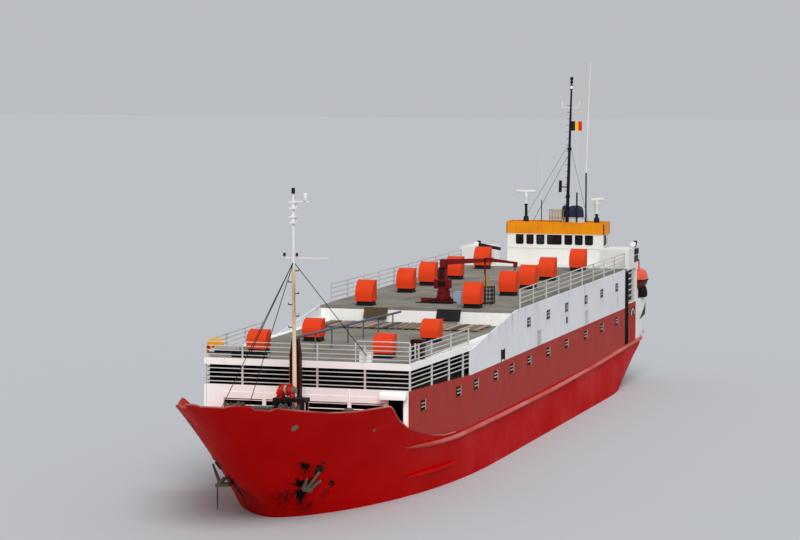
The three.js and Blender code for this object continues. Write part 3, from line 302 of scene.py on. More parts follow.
def piece(name, parts, paint, finish, body="ship", replaces="", bevel=0.0, smooth=None, weld=False):
    """One object made of parts, which are corners in modules and faces, with its material and body."""
    corners, faces = [], []
    for part_corners, part_faces in parts:
        start = len(corners)
        corners += [Vector(c) * module for c in part_corners]
        faces += [tuple(start + i for i in face) for face in part_faces]
    mesh = bpy.data.meshes.new(name)
    mesh.from_pydata(corners, [], faces)
    work = bmesh.new()
    work.from_mesh(mesh)
    if weld:
        bmesh.ops.remove_doubles(work, verts=work.verts, dist=1e-5)
    bmesh.ops.recalc_face_normals(work, faces=work.faces)
    work.to_mesh(mesh)
    work.free()
    mesh.materials.append(paint)
    made = bpy.data.objects.new(name, mesh)
    studio.collection.objects.link(made)
    if smooth:
        mesh.shade_smooth()
        mesh.set_sharp_from_angle(angle=math.radians(smooth))
    if bevel:
        rounding = made.modifiers.new("rounded edges", "BEVEL")
        rounding.width = bevel
        rounding.segments = 2
        rounding.limit_method = "ANGLE"
    if replaces:
        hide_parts(*replaces.split())
    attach(made, body)
    return made


bow_red = enamel("brushed red enamel", "#c20201", "#ae0402", chalk=0.6, runs=0.1, spots=0.05,
                 roughness=0.42, seams=(3.0, 0.9), dent=0.2, rust="#4a0d08", stain_colour="#120605",
                 shine=0.02)
shell = piece("hull_shell", [(shell_corners, shell_faces)], bow_red, "hull_red",
              replaces="hull forecastle", smooth=32, weld=True)


# Bulwark edge: red lead and white undercoat show along the worn top edge, where a half-round bar of
# bare steel and old paint is welded on from the sweep to the stem.
def girdled(rings, count):
    """Faces between rings of corners."""
    faces = []
    for start in range(0, (rings - 1) * count, count):
        for k in range(count):
            n = (k + 1) % count
            faces.append((start + k, start + n, start + count + n, start + count + k))
    return faces


def capped(rings, count):
    """Faces that close the first and last ring."""
    return [tuple(reversed(range(count))), tuple(range((rings - 1) * count, rings * count))]


def tube(path, radius, sides=12, ends=True):
    """A round bar along points; radius is one number or one for each point."""
    points = [Vector(p) for p in path]
    radii = radius if isinstance(radius, (list, tuple)) else [radius] * len(points)
    corners, faces = [], []
    side = None
    for i, point in enumerate(points):
        along = (points[min(i + 1, len(points) - 1)] - points[max(i - 1, 0)]).normalized()
        if side is None:
            side = along.orthogonal().normalized()
        side = (side - along * side.dot(along)).normalized()
        other = along.cross(side)
        for k in range(sides):
            turn = 2 * math.pi * k / sides
            corners.append(point + radii[i] * (math.cos(turn) * side + math.sin(turn) * other))
    faces += girdled(len(points), sides)
    if ends:
        faces += capped(len(points), sides)
    return corners, faces


worn_red = enamel("worn red enamel", "#9c1812", "#c98f80", chalk=0.9, runs=0.2, spots=0.8, rust="#7a4a3a",
                  roughness=0.6)
rail_round = rail_line + [(x, -y, z) for x, y, z in reversed(rail_line)]
piece("bulwark_edge", [tube(rail_round, 0.045, 8)], worn_red, "hull_red", smooth=50)


# Rubbing strakes: half-round steel bar welded along the shell, its red paled towards pink in patches as a
# painted highlight along the rounded bar.
# A second, shorter one lies lower at each bow.
def moved(part, x=0, y=0, z=0, turn=0.0, about="Z", mirror=1):
    """A part turned, then shifted, then mirrored across the keel line where mirror is -1."""
    spin = Matrix.Rotation(turn, 4, about)
    corners = []
    for corner in part[0]:
        point = spin @ Vector(corner)
        corners.append((point.x + x, mirror * (point.y + y), point.z + z))
    return corners, part[1]


ship_sides = (("port", 1), ("starboard", -1))


def pair(name, parts, paint, finish, replaces="", body="", **rest):
    """A piece drawn to port, made there and mirrored to starboard."""
    for side_name, sign in ship_sides:
        if replaces:
            rest["replaces"] = f"{replaces}_{side_name}"
        if body:
            rest["body"] = f"{body}_{side_name}"
        piece(f"{name}_{side_name}", [moved(part, mirror=sign) for part in parts], paint, finish, **rest)


strake_profile = [(-0.03, -0.13), (0.1, -0.12), (0.17, -0.07), (0.2, 0.0), (0.17, 0.07), (0.1, 0.12),
                  (-0.03, 0.13)]


def half_round(path, taper):
    """A strake's bar along places (x, z) of the shell, thin at its forward end."""
    corners = []
    for i, (x, z) in enumerate(path):
        ease = min(1.0, 0.2 + i / taper)
        slope = half_breadth(x, z + 0.2) - half_breadth(x, z - 0.2)
        for out, up in strake_profile:
            corners.append((x, half_breadth(x, z) + out * ease + up * slope / 0.4, z + up * ease))
    sides = len(strake_profile)
    return corners, girdled(len(path), sides) + capped(len(path), sides)


# The strake's paler red and pink stand for the highlight along the rounded bar: painted highlight.
strake_highlight_paint = enamel("red enamel with painted highlight", "#b8423c", "#d48a82", chalk=0.7, runs=0.2, spots=0.3,
                      roughness=0.55, dent=0.1)
strake_path = [(20.35, 3.07), (19.1, 3.0), (17.9, 2.93), (17, 2.89), (16, 2.85), (15, 2.83), (14, 2.81),
               (13, 2.8), (8, 2.76), (1.7, 2.72), (-10, 2.7), (-22.9, 2.85), (-33.3, 3.09), (-37.4, 3.18),
               (-38.2, 3.2), (-38.9, 3.22), (-39.5, 3.23), (-39.85, 3.24)]
strake_xs = np.concatenate([np.linspace(20.35, -36, 130), np.linspace(-36.3, -39.85, 36)])
strake_zs = np.interp(-strake_xs, [-x for x, _ in strake_path], [z for _, z in strake_path])
pair("rubbing_strake", [half_round(list(zip(strake_xs, strake_zs)), 6)], strake_highlight_paint, "hull_red",
     replaces="strake", smooth=40)
pair("bow_strake", [half_round([(x, 1.19) for x in np.linspace(19.1, 13.2, 40)], 8)], bow_red, "hull_red",
     smooth=40)


# Side plating: welded flat plate over the side frames, red low down and white above, with ventilation
# openings cut for the pens. The red is sun-faded; rust and grime run down from every opening.
def plating(columns, levels, top, holes, foot=lambda x: 0):
    """A wall of two skins over a grid of places along and up the side, open at the holes."""
    corners, faces = [], []
    nx, nz = len(columns), len(levels) + 1
    wall_thick, sky_high = 0.1, 99
    for depth in (0, wall_thick):
        for x in columns:
            for z in (*levels, top(x)):
                corners.append((x, side_y(x) - depth, max(z, foot(x))))
    across = [(a + b) / 2 for a, b in zip(columns, columns[1:])]
    bounds = (*levels, sky_high)
    upward = [(a + b) / 2 for a, b in zip(bounds, bounds[1:])]
    cell = [[not any(x0 < x < x1 and z0 < z < z1 for x0, x1, z0, z1 in holes) for z in upward]
            for x in across]
    back = nx * nz

    def solid(i, k):
        return 0 <= i < nx - 1 and 0 <= k < nz - 1 and cell[i][k]

    for i in range(nx - 1):
        for k in range(nz - 1):
            if not cell[i][k]:
                continue
            a, b, c, d = i * nz + k, (i + 1) * nz + k, (i + 1) * nz + k + 1, i * nz + k + 1
            faces += [(a, b, c, d), (a + back, d + back, c + back, b + back)]
            beside = ((i, k - 1), (i + 1, k), (i, k + 1), (i - 1, k))
            for near, p, q in zip(beside, (a, b, c, d), (b, c, d, a)):
                if not solid(*near):
                    faces.append((q, p, p + back, q + back))
    return corners, faces


def stain(made, sources):
    """Marks where rust runs start: (x, width, top, length, strength, lean aft), fading downwards."""
    mesh = made.data
    places = np.empty(len(mesh.vertices) * 3, np.float32)
    mesh.vertices.foreach_get("co", places)
    places = places.reshape(-1, 3) / module
    total = np.zeros(len(places), np.float32)
    for x, width, top, length, strength, *lean in sources:
        drop = top - places[:, 2]
        marked = (drop >= -0.05 * length) & (drop < length)
        fade = np.where(marked, 1 - np.clip(drop / length, 0, 1), 0) ** 1.3
        middle = x - drop * (lean[0] if lean else 0)
        total += strength * fade * np.exp(-(((places[:, 0] - middle) / width) ** 2))
    mesh.attributes.new("stain", "FLOAT", "POINT").data.foreach_set("value", np.clip(total, 0, 3))


side, front_side, taper_x, plating_end, step_x = 6.5, 6.06, 10.35, -32.7, -0.4
mid_deck, fore_deck_top, upper_deck_top = 6.0, 7.81, 8.82
low_vents = [19, 12.6, 9.1, 4.6, 0.7, -3.7, -8.8, -14, -19.7, -24.8, -29.8]
high_vents = [-3.6, -8.8, -14, -19.8, -24.8, -29.8]
low_vent_z, high_vent_z, vent_long, vent_high = 5.32, 7.78, 0.8, 0.55
red_front_rise, white_front_top = 0.34, 7.44


def side_y(x):
    return side if x < taper_x else side + (front_side - side) * (x - taper_x) / (house_front - taper_x)


def low_top(x):
    return mid_deck if x < taper_x else mid_deck + red_front_rise * (x - taper_x) / (house_front - taper_x)


def high_top(x):
    fall = (x - step_x) / (taper_x - step_x)
    return upper_deck_top if x < step_x else upper_deck_top + (white_front_top - upper_deck_top) * fall


def vent_hole(x, z):
    return (x - vent_long / 2, x + vent_long / 2, z - vent_high / 2, z + vent_high / 2)


def grid_columns(start, end, holes, extra):
    places = [*np.arange(start, end, 0.3), *extra, *[h for hole in holes for h in hole[:2]]]
    return sorted({round(float(x), 3) for x in places})


plate_seams = (2.4, 1.1)
side_red = enamel("sun-faded red enamel", "#a82a22", "#b0463c", chalk=0.6, runs=0.35, spots=0.15,
                  rust="#7d2418", roughness=0.55, dent=0.35, seams=plate_seams, stain_colour="#6a2216")
side_white = enamel("white enamel", "#e6e7ea", "#cfd1d5", chalk=0.6, runs=0.18, spots=0.1, rust="#9a8470",
                    roughness=0.5, dent=0.35, seams=plate_seams, stain_colour="#8b6a4c")
slatted_vent = (2.5, 3.25, 6.09, 6.7)
low_holes = [vent_hole(x, low_vent_z) for x in low_vents]
high_holes = [vent_hole(x, high_vent_z) for x in high_vents] + [slatted_vent]
low_columns = grid_columns(plating_end, house_front, low_holes, (taper_x, house_front))
high_columns = grid_columns(plating_end, taper_x, high_holes, (step_x, taper_x - 0.001))
low_levels = [3.0, 3.3, 3.6, 3.9, 4.2, 4.5, 4.8, 5.045, 5.32, 5.595, 5.8]
high_levels = [6.0, 6.09, 6.3, 6.5, 6.7, 6.95, 7.2, 7.4]
aft_levels = [*high_levels, 7.505, 7.78, 8.055, 8.4]
red_wall = plating(low_columns, low_levels, low_top, low_holes, foot=top_z)
white_walls = [plating([x for x in high_columns if x <= step_x], aft_levels, high_top, high_holes),
               plating([x for x in high_columns if x >= step_x], high_levels, high_top, high_holes)]
rust_runs = np.random.default_rng(4)
for name, sign in ship_sides:
    red = piece(f"red_plating_{name}", [moved(red_wall, mirror=sign)], side_red, "faded_red",
                replaces=f"lower_side_{name}", weld=True)
    sources = [(x + dx, 0.12, low_vent_z - 0.2, 1.6, 0.8) for x in low_vents for dx in (-0.34, 0.36)]
    places, lengths = rust_runs.uniform(-32, 20, 26), rust_runs.uniform(0.6, 3, 26)
    stain(red, sources + [(x, 0.25, mid_deck, long, 0.5) for x, long in zip(places, lengths)])
    white = piece(f"white_plating_{name}", [moved(wall, mirror=sign) for wall in white_walls], side_white,
                  "white_paint", replaces=f"upper_side_{name}", weld=True)
    sources = [(x + dx, 0.1, high_vent_z - 0.2, 1.2, 0.7) for x in high_vents for dx in (-0.34, 0.36)]
    places, lengths = rust_runs.uniform(-32, 0, 16), rust_runs.uniform(0.5, 2.2, 16)
    sources += [(x, 0.12, 8.8, long, 0.4) for x, long in zip(places, lengths)]
    stain(white, sources + [(x, 0.15, high_top(x), 0.8, 0.5) for x in rust_runs.uniform(0, 10, 8)])


# Opening trims: flat bar round each ventilation opening, two bars across it and a net behind it.
# The flat bar is dark brown as painted shade of the opening's recess. The bars are painted with the side,
# but their edges are the first thing to rust.
def slab(x0, x1, y0, y1, z0, z1):
    corners = [(x, y, z) for x in (x0, x1) for y in (y0, y1) for z in (z0, z1)]
    return corners, [(0, 1, 3, 2), (4, 6, 7, 5), (0, 4, 5, 1), (2, 3, 7, 6), (0, 2, 6, 4), (1, 5, 7, 3)]


def block(x, y, low, high, dx, dy):
    """An upright slab round a place in plan, reaching dx and dy to each side."""
    return slab(x - dx, x + dx, y - dy, y + dy, low, high)


dark_slat_and_shade = enamel("dark brown enamel and painted shade", "#231915", "#3a2c25", chalk=0.6, spots=0.3)
dark_net = enamel("black netting", "#050506", "#0c0c0d", runs=0, spots=0, roughness=0.9, shine=0.02)
trim_white = enamel("white trim enamel", "#c9cac8", "#a8a49a", chalk=0.8, runs=0.2, spots=0.5, rust="#7c5238")
bars, shade_rims, screens = [], [], []
for xs, z in ((low_vents, low_vent_z), (high_vents, high_vent_z)):
    for x in xs:
        y = side_y(x)
        for bar_z in (z - 0.1, z + 0.1):
            bars.append(slab(x - 0.4, x + 0.4, y - 0.07, y + 0.012, bar_z - 0.024, bar_z + 0.024))
        if z == low_vent_z:
            bars.append(slab(x - 0.47, x - 0.4, y - 0.02, y + 0.03, z - 0.3, z + 0.3))
        screens.append(slab(x - 0.5, x + 0.5, y - 0.24, y - 0.21, z - 0.4, z + 0.4))
        # Dark brown bars round each opening's edges: painted shade that widens the opening's dark recess.
        shade_rims += [block(x + d, y, z - 0.29, z + 0.29, 0.02, 0.02) for d in (-0.4, 0.4)]
        shade_rims += [block(x, y, z + d - 0.02, z + d + 0.02, 0.42, 0.02) for d in (-0.275, 0.275)]
pair("opening_bars", bars, trim_white, "white_paint", bevel=0.003)
pair("opening_shade_rims", shade_rims, dark_slat_and_shade, "black_paint", bevel=0.003)
pair("opening_screens", screens, dark_net, "black_paint")

# Fittings on the white plating: a slatted vent, two shell doors with raised frames, a small cover and
# a drain pipe.
blade = slab(-0.4, 0.4, -0.05, 0.05, -0.012, 0.012)
blades = [moved(blade, 2.875, 6.46, 6.13 + 0.09 * i, turn=0.6, about="X") for i in range(7)]
blades += [slab(x, x + 0.08, 6.42, 6.53, 6.03, 6.76) for x in (2.42, 3.25)]
pair("slatted_vent", blades, dark_slat_and_shade, "black_paint", bevel=0.002)
doors = []
for x in (-6.3, -19.9):
    doors.append(slab(x - 0.42, x + 0.42, 6.49, 6.515, 6.08, 6.92))
    doors += [slab(x + d - 0.035, x + d + 0.035, 6.49, 6.54, 6.0, 7.0) for d in (-0.5, 0.5)]
    doors += [slab(x - 0.53, x + 0.53, 6.49, 6.54, z - 0.03, z + 0.03) for z in (6.03, 6.97)]
    doors += [tube([(x + 0.47, 6.53, z), (x + 0.47, 6.53, z + 0.14)], 0.03, 8) for z in (6.22, 6.78)]
pair("shell_doors", doors, trim_white, "white_paint", bevel=0.003)
pair("side_cover", [slab(-14.24, -13.88, 6.49, 6.53, 6.7, 7.12)], dark_slat_and_shade, "black_paint", bevel=0.004)
pair("drain_pipe", [tube([(-29.95, 6.54, 6.34), (-29.95, 6.54, 6.93)], 0.05, 10)], trim_white, "white_paint",
     smooth=40)


# Decks: ribbed and flat steel plate in grey deck paint, walked and dragged down to rust in places.
# The plates are welded edge to edge, with a raised bead on each seam.
def dress(nodes, paint):
    """Gives CAD nodes that keep their own mesh a finished material."""
    for name in nodes:
        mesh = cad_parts[name].data
        mesh.materials.clear()
        mesh.materials.append(paint)


deck_grey = enamel("grey deck paint", "#8d8a80", "#6f6a60", chalk=0.9, runs=0.0, spots=0.75, rust="#5e4534",
                   roughness=0.75, dent=0.3)
pen_floor = enamel("grimy pen floor paint", "#4a463e", "#332e28", chalk=1.0, runs=0.0, spots=0.9,
                   rust="#2c241c", roughness=0.9)
front_white = enamel("warm white enamel", "#fbfaf7", "#ebe8e2", chalk=0.6, runs=0.2, spots=0.15,
                     rust="#a5805c", roughness=0.5, seams=plate_seams)
dress(["upper_deck"], deck_grey)
dress(["mid_deck"], pen_floor)
dress(["fore_deck"], front_white)
plates = [block(x, 0, fore_deck_top, fore_deck_top + 0.015, 0.02, 5.9) for x in np.arange(1.0, 20.6, 1.0)]
plates.append(slab(step_x + 0.02, house_front - 0.3, -5.85, 5.85, fore_deck_top - 0.01,
                   fore_deck_top + 0.006))
piece("fore_deck_plating", plates, deck_grey, "deck_grey")
seam_top = upper_deck_top + 0.012
beads = [block(x, 0, upper_deck_top, seam_top, 0.03, 6.0) for x in np.arange(-33, -1, 2.0)]
beads += [slab(-33.5, -0.5, y - 0.03, y + 0.03, upper_deck_top, seam_top) for y in (-2.2, 2.2)]
piece("upper_deck_seams", beads, deck_grey, "deck_grey", bevel=0.002)


# Front and inner walls: white plate with the doorway's frame, a rounded rain hood over it, and square
# bars across the openings. The starboard plating's forward edge is white like the wall.
def raised(axis, a, b, c):
    """A point c along the axis: (a, b) is (y, z) on the x axis and (x, z) on the y axis."""
    return (c, a, b) if axis == "x" else (a, c, b)


def panel(outline, low, high, axis):
    """A flat plate with an outline, from low to high along the axis."""
    count = len(outline)
    corners = [raised(axis, a, b, c) for c in (low, high) for a, b in outline]
    return corners, girdled(2, count) + capped(2, count)


dress(["front_wall", "aft_wall", "step_wall"], front_white)
hood = [(21.1, 5.98), (21.1, 6.34), (21.45, 6.3), (21.62, 6.1), (21.66, 5.88), (21.6, 5.88), (21.4, 5.95)]
piece("door_hood", [panel(hood, 4.4, 5.9, "y")], front_white, "white_paint", bevel=0.01)
wall_bars = [slab(21.09, 21.17, y, y + 0.08, 4.3, 5.92) for y in (4.68, 5.64)]
wall_bars += [slab(21.09, 21.17, 4.68, 5.72, 5.84, 5.92), slab(21.06, 21.12, -4.95, 4.55, 5.58, 5.95),
              slab(21.095, 21.125, -6.07, -5.93, 3.9, 6.33)]
wall_bars += [slab(21.09, 21.14, y - 0.03, y + 0.03, 4.4, 6.3) for y in (-2.5, 0.0, 2.5)]
for y0, y1 in ((-4.9, -2.6), (-2.4, -0.1), (0.1, 2.4), (2.6, 4.5)):
    wall_bars += [slab(21.02, 21.06, y0 - 0.02, y1 + 0.02, z - 0.025, z + 0.025) for z in (4.9, 5.2, 5.5)]
piece("front_wall_frames", wall_bars, front_white, "white_paint", bevel=0.004)

# Rails and pen bars: square bar and pipe, welded at the posts and painted white over rust. A taller
# hoop stands at the port end of the front rail.
rail_paint = enamel("white rail enamel", "#cfd0cd", "#a9a59c", chalk=0.7, spots=0.7, rust="#8a5a3c",
                    roughness=0.5, dent=0.1)
dress(["pen_rails", "fore_rails", "fence_port", "fence_starboard"], rail_paint)
hoop = [(21.0, 2.85, 7.85), (21.0, 2.85, 8.93), (21.0, 2.95, 9.0), (21.0, 5.92, 9.0), (21.0, 6.0, 8.93),
        (21.0, 6.0, 8.7)]
piece("front_hoop", [tube(hoop, 0.035, 10)], rail_paint, "rail_grey", smooth=40)

# Loose boards: sawn softwood laid fore and aft on three bearers before the step. Each board has
# greyed to its own tone, from bleached to wet brown, with dirt trodden along the grain. The grain is
# drawn 15 mm wide, far coarser than in real wood, so that it shows.
timber, tree, shader = new_material("weathered softwood", 0.85)
where = add_node(tree, "ShaderNodeTexCoord").outputs["Object"]
along = add_node(tree, "ShaderNodeMapping", {"Scale": (1.5, 22, 22)}, {"Vector": where})
grain = add_node(tree, "ShaderNodeTexNoise", {"Scale": 3.0, "Detail": 8.0, "Roughness": 0.7},
                 {"Vector": along.outputs["Vector"]})
tone = add_node(tree, "ShaderNodeAttribute", {"attribute_name": "tone"})
board = add_node(tree, "ShaderNodeMix", {"data_type": "RGBA", 6: linear("#b9a390"), 7: linear("#4a382c")},
                 {0: tone.outputs["Fac"]})
grain_mask = add_node(tree, "ShaderNodeMapRange", {"From Min": 0.45, "From Max": 0.7, "To Max": 0.7},
                      {"Value": grain.outputs["Fac"]})
worn = add_node(tree, "ShaderNodeMix", {"data_type": "RGBA", 7: linear("#3a2e26")},
                {0: grain_mask.outputs["Result"], 6: board.outputs[2]})
tree.links.new(worn.outputs[2], shader.inputs["Base Color"])
ridges = add_node(tree, "ShaderNodeBump", {"Strength": 0.5, "Distance": 0.004},
                  {"Height": grain.outputs["Fac"]})
tree.links.new(ridges.outputs["Normal"], shader.inputs["Normal"])
lay = np.random.default_rng(7)
boards = [slab(x + 0.29, x + 0.41, -5.4, 5.2, 7.811, 7.905) for x in (0.4, 1.7, 3.0)]
for y in np.arange(-5.4, 4.9, 0.44):
    slide, wide = lay.uniform(-0.09, 0.04), lay.uniform(0.3, 0.36)
    boards.append(slab(0.4 + slide, 3.7 + slide, y, y + wide, 7.905, 7.955))
loose = piece("loose_boards", boards, timber, "timber", replaces="plank_floor", bevel=0.002)
corners_each = 8
tones = np.repeat([0.5] * 3 + list(lay.uniform(0, 1, len(boards) - 3) ** 1.3), corners_each)
loose.data.attributes.new("tone", "FLOAT", "POINT").data.foreach_set("value", tones)


# Hooded ventilators: a rolled sheet-steel cowl with flat cheeks, a lip round its edge and a louvred
# back, on a black coaming. Signal-orange enamel, hardly worn.
def placed(parts, x, y, z=0.0):
    return [moved(part, x, y, z) for part in parts]


vent_orange = enamel("signal orange enamel", "#dc3a12", "#d8481f", chalk=0.7, runs=0.12, spots=0.05,
                     rust="#8a2a12", roughness=0.5, dent=0.12)
coaming_black_and_shade = enamel("black coaming enamel and painted shade", "#17181a", "#2a2a2b", runs=0.1, spots=0.3, rust="#4c3323")
fore_vents = [(18.2, -3.85), (18.2, 3.67), (11.2, -2.92), (9.6, 3.9)]
aft_vents = [(-1, -3.53), (-1.3, 3.45), (-10.6, -3.74), (-10.3, 3.43), (-16.2, -3.85), (-15.6, 3.43),
             (-21.5, -3.42), (-22.5, 3.1), (-31, -3.95), (-31, 3.33)]
vents = [(x, y, fore_deck_top, 1.03) for x, y in fore_vents]
vents += [(x, y, upper_deck_top, 1.3) for x, y in aft_vents]
coaming = [block(-0.015, 0, 0.0, 0.3, 0.435, 0.5), block(-0.01, 0, 0.0, 0.05, 0.49, 0.55)]
coaming += [tube([(0.44, y, 0.02), (0.44, y, 0.32)], 0.018, 6) for y in (-0.4, 0, 0.4)]
for number, (x, y, deck_z, high) in enumerate(vents, 1):
    cowl = [(-0.5, 0.3), (0.5, 0.3), (0.5, 0.6)]
    for turn in np.linspace(0, math.pi / 2, 15)[1:]:
        cowl.append((0.5 - 0.9 * (1 - math.cos(turn)), 0.6 + (high - 0.3) * math.sin(turn)))
    cowl.append((-0.5, 0.3 + high))
    middle = 0.3 + high / 2
    skin = [panel(cowl, -0.55, 0.55, "y"), block(0, 0, 0.29, 0.33, 0.52, 0.57)]
    for edge_y in (-0.56, 0.56):
        lip = [(a * 1.01, edge_y, middle + (b - middle) * 1.01) for a, b in cowl[2:]]
        cheek = [(a * 0.98, middle + (b - middle) * 0.98) for a, b in cowl]
        skin += [tube(lip, 0.02, 6), panel(cheek, edge_y - 0.006, edge_y + 0.006, "y")]
    louvre = slab(-0.025, 0.025, -0.45, 0.45, -0.04, 0.04)
    skin += [moved(louvre, -0.505, 0, z, turn=0.6, about="Y") for z in np.arange(0.46, 0.2 + high, 0.14)]
    piece(f"cowl_{number}", placed(skin, x, y, deck_z), vent_orange, "vent_orange",
          replaces=f"ventilator_{number}", smooth=35)
    piece(f"coaming_{number}", placed(coaming, x, y, deck_z), coaming_black_and_shade, "black_paint")

# Deck crane: a fabricated knuckle-boom crane in dark red enamel, oily at the pins, on a footed
# pedestal with its hoses down the column. The slewing column, boom and jib each ride their own body.
crane_red = enamel("dark red crane enamel", "#6a0d12", "#7d2a28", chalk=0.6, runs=0.2, spots=0.3,
                   rust="#2e1410", dent=0.15)
grease = enamel("greased black steel", "#151312", "#2b2522", chalk=0.6, runs=0.1, roughness=0.35)
rubber = enamel("black hose rubber", "#101112", "#1c1c1d", runs=0, spots=0, roughness=0.6, dent=0.05)
blue_grey = enamel("pale blue enamel", "#8fa3b4", "#a9b4bd", chalk=0.6, runs=0.2)
crane_x, crane_y, slew_z, pivot_z = -4.0, 0.75, 9.5, 11.45
knuckle_y, knuckle_z = crane_y + 3.1, pivot_z + 0.2
pedestal = [tube([(0, 0, 0), (0, 0, slew_z - upper_deck_top)], 0.42, 32), block(0, 0, 0, 0.12, 0.7, 0.7),
            block(0, 0, 0, 0.3, 0.12, 1.5)]
for turn in np.arange(8) * math.pi / 4:
    pedestal.append(moved(panel([(0.4, 0.11), (0.66, 0.11), (0.42, 0.48)], -0.025, 0.025, "y"), turn=turn))
    pedestal.append(moved(tube([(0.58, 0, 0.08), (0.58, 0, 0.17)], 0.04, 6), turn=turn + 0.39))
piece("pedestal", placed(pedestal, crane_x, crane_y, upper_deck_top), crane_red, "crane_red",
      replaces="crane_pedestal", bevel=0.004, smooth=35)
# The column's foot stands 2 mm clear, so that it turns free of the pedestal.
column = [tube([(0, 0, 0.004), (0, 0, 0.12), (0, 0, 0.12), (0, 0, 0.25)], [0.42, 0.42, 0.36, 0.34], 32),
          slab(-0.24, 0.24, -0.3, 0.2, 0.2, 1.6), slab(-0.34, 0.34, -0.55, 0.45, 0.25, 0.85),
          slab(-0.24, -0.15, -0.2, 0.2, 1.5, 2.13), slab(0.15, 0.24, -0.2, 0.2, 1.5, 2.13),
          tube([(-0.26, 0, 1.95), (0.26, 0, 1.95)], 0.09, 20)]
piece("column", placed(column, crane_x, crane_y, slew_z), crane_red, "crane_red", body="crane_column",
      replaces="crane_column", bevel=0.004, smooth=35)
valves = [slab(0.34, 0.37, -0.3, 0.2, 0.4, 0.75), tube([(0.1, -0.33, 0.9), (0.1, -0.33, 1.5)], 0.06, 12)]
for k in range(4):
    hose = [(0.26, -0.2 + 0.09 * k, 0.5), (0.29, -0.2 + 0.09 * k, 1.0), (0.25, -0.15 + 0.07 * k, 1.55)]
    valves.append(tube(hose, 0.025, 8))
piece("column_valves", placed(valves, crane_x, crane_y, slew_z), grease, "black_paint", body="crane_column",
      smooth=35)
boom_web = [(-0.16, -0.14), (0.2, -0.16), (2.88, 0.06), (2.88, 0.3), (0.3, 0.2), (-0.16, 0.16)]
boom = [panel(boom_web, -0.106, 0.106, "x"), slab(-0.2, -0.12, 2.78, 3.26, 0.06, 0.34),
        slab(0.12, 0.2, 2.78, 3.26, 0.06, 0.34), slab(-0.2, 0.2, 2.78, 2.88, 0.06, 0.34),
        tube([(-0.148, 0, 0), (0.148, 0, 0)], 0.12, 20)]
boom += [slab(-0.115, 0.115, y, y + 0.05, -0.15 + 0.08 * y, 0.2 + 0.035 * y) for y in (0.5, 1.3, 2.1)]
piece("boom", placed(boom, crane_x, crane_y, pivot_z), crane_red, "crane_red", body="crane_boom",
      replaces="crane_boom", bevel=0.004, smooth=35)
jib_web = [(-0.12, -0.1), (0.2, -0.12), (1.55, -0.2), (1.5, -0.42), (1.75, -0.44), (1.8, -0.1), (0.2, 0.1),
           (-0.12, 0.1)]
jib = [panel(jib_web, -0.094, 0.094, "x"), tube([(-0.118, 0, 0), (0.118, 0, 0)], 0.08, 20)]
piece("jib", placed(jib, crane_x, knuckle_y, knuckle_z), crane_red, "crane_red", body="crane_jib",
      replaces="crane_jib", bevel=0.004, smooth=35)
hook = [(0, 1.62, -0.42), (0, 1.62, -0.5), (0, 1.66, -0.58), (0, 1.62, -0.64), (0, 1.56, -0.6)]
piece("jib_hook", placed([tube(hook, 0.025, 8)], crane_x, knuckle_y, knuckle_z), grease, "black_paint",
      body="crane_jib", smooth=40)
hoses = []
for k in range(6):
    sag = 0.04 + (0.1 + 0.05 * (k % 3)) / 3
    hoses.append(tube([(0.3, -0.2 + 0.1 * k, 0.28), (0.75, -0.6 + 0.25 * k, 0.23), (0.8, -1.4 + 0.5 * k, sag),
                       (0.5, -1.15 - 0.12 * k, 0.04)], 0.03, 8))
piece("hydraulic_hoses", placed(hoses, crane_x, crane_y, upper_deck_top), rubber, "black_paint", smooth=50)
locker = [slab(-3.85, -3.45, 1.55, 2.05, upper_deck_top, 9.5), slab(-3.9, -3.5, 1.61, 1.99, 9.5, 9.62)]
piece("valve_locker", locker, blue_grey, "crane_red", bevel=0.008)

# Boom rest: a thin red post that holds the boom up, with the black cage for slings and stores at its
# foot and three yellow slings hung on the post.
rest_y = crane_y + 2.75
cage_y = rest_y + 0.1
sling_yellow = enamel("yellow sling webbing", "#b58a1e", "#8f7a3c", chalk=0.7, runs=0, spots=0.1,
                      roughness=0.8)
rest_post = [block(crane_x, rest_y, upper_deck_top, 11.487, 0.05, 0.05),
             block(crane_x, rest_y, upper_deck_top, 8.86, 0.12, 0.12)]
piece("rest_post", rest_post, crane_red, "crane_red", replaces="boom_rest", bevel=0.003)
cage = [block(crane_x + a, cage_y + b, upper_deck_top, 9.97, 0.03, 0.03)
        for a in (-0.42, 0, 0.42) for b in (-0.42, 0, 0.42) if a or b]
for rise in (0.08, 0.34, 0.6, 0.86, 1.1):
    low, high = upper_deck_top + rise - 0.025, upper_deck_top + rise + 0.025
    cage += [block(crane_x, cage_y + d, low, high, 0.42, 0.02) for d in (-0.42, 0.42)]
    cage += [block(crane_x + d, cage_y, low, high, 0.02, 0.42) for d in (-0.42, 0.42)]
piece("stores_cage", cage, coaming_black_and_shade, "black_paint")
slings = []
for k in range(3):
    y = rest_y + 0.12 * k
    slings.append(tube([(-3.92, y, 10.75), (-3.9, rest_y + 0.13 * k, 10.3), (-3.92, y, 9.9)], 0.03, 8))
piece("lifting_hooks", slings, sling_yellow, "black_paint", smooth=50)


# Foremast: a tapered steel pole, white over yellow with rust bleeding down it, in a peaked maroon
# pedestal box, with its lamps, yard, steps and four black wire stays.
def plank(start, end, width, height):
    """A square-edged bar between two points."""
    a, b = Vector(start), Vector(end)
    along = (b - a).normalized()
    across = Vector((0, 0, 1)).cross(along).normalized()
    up = along.cross(across)
    around = ((-1, -1), (1, -1), (1, 1), (-1, 1))
    corners = [p + across * s * width / 2 + up * t * height / 2 for p in (a, b) for s, t in around]
    return corners, girdled(2, 4) + capped(2, 4)


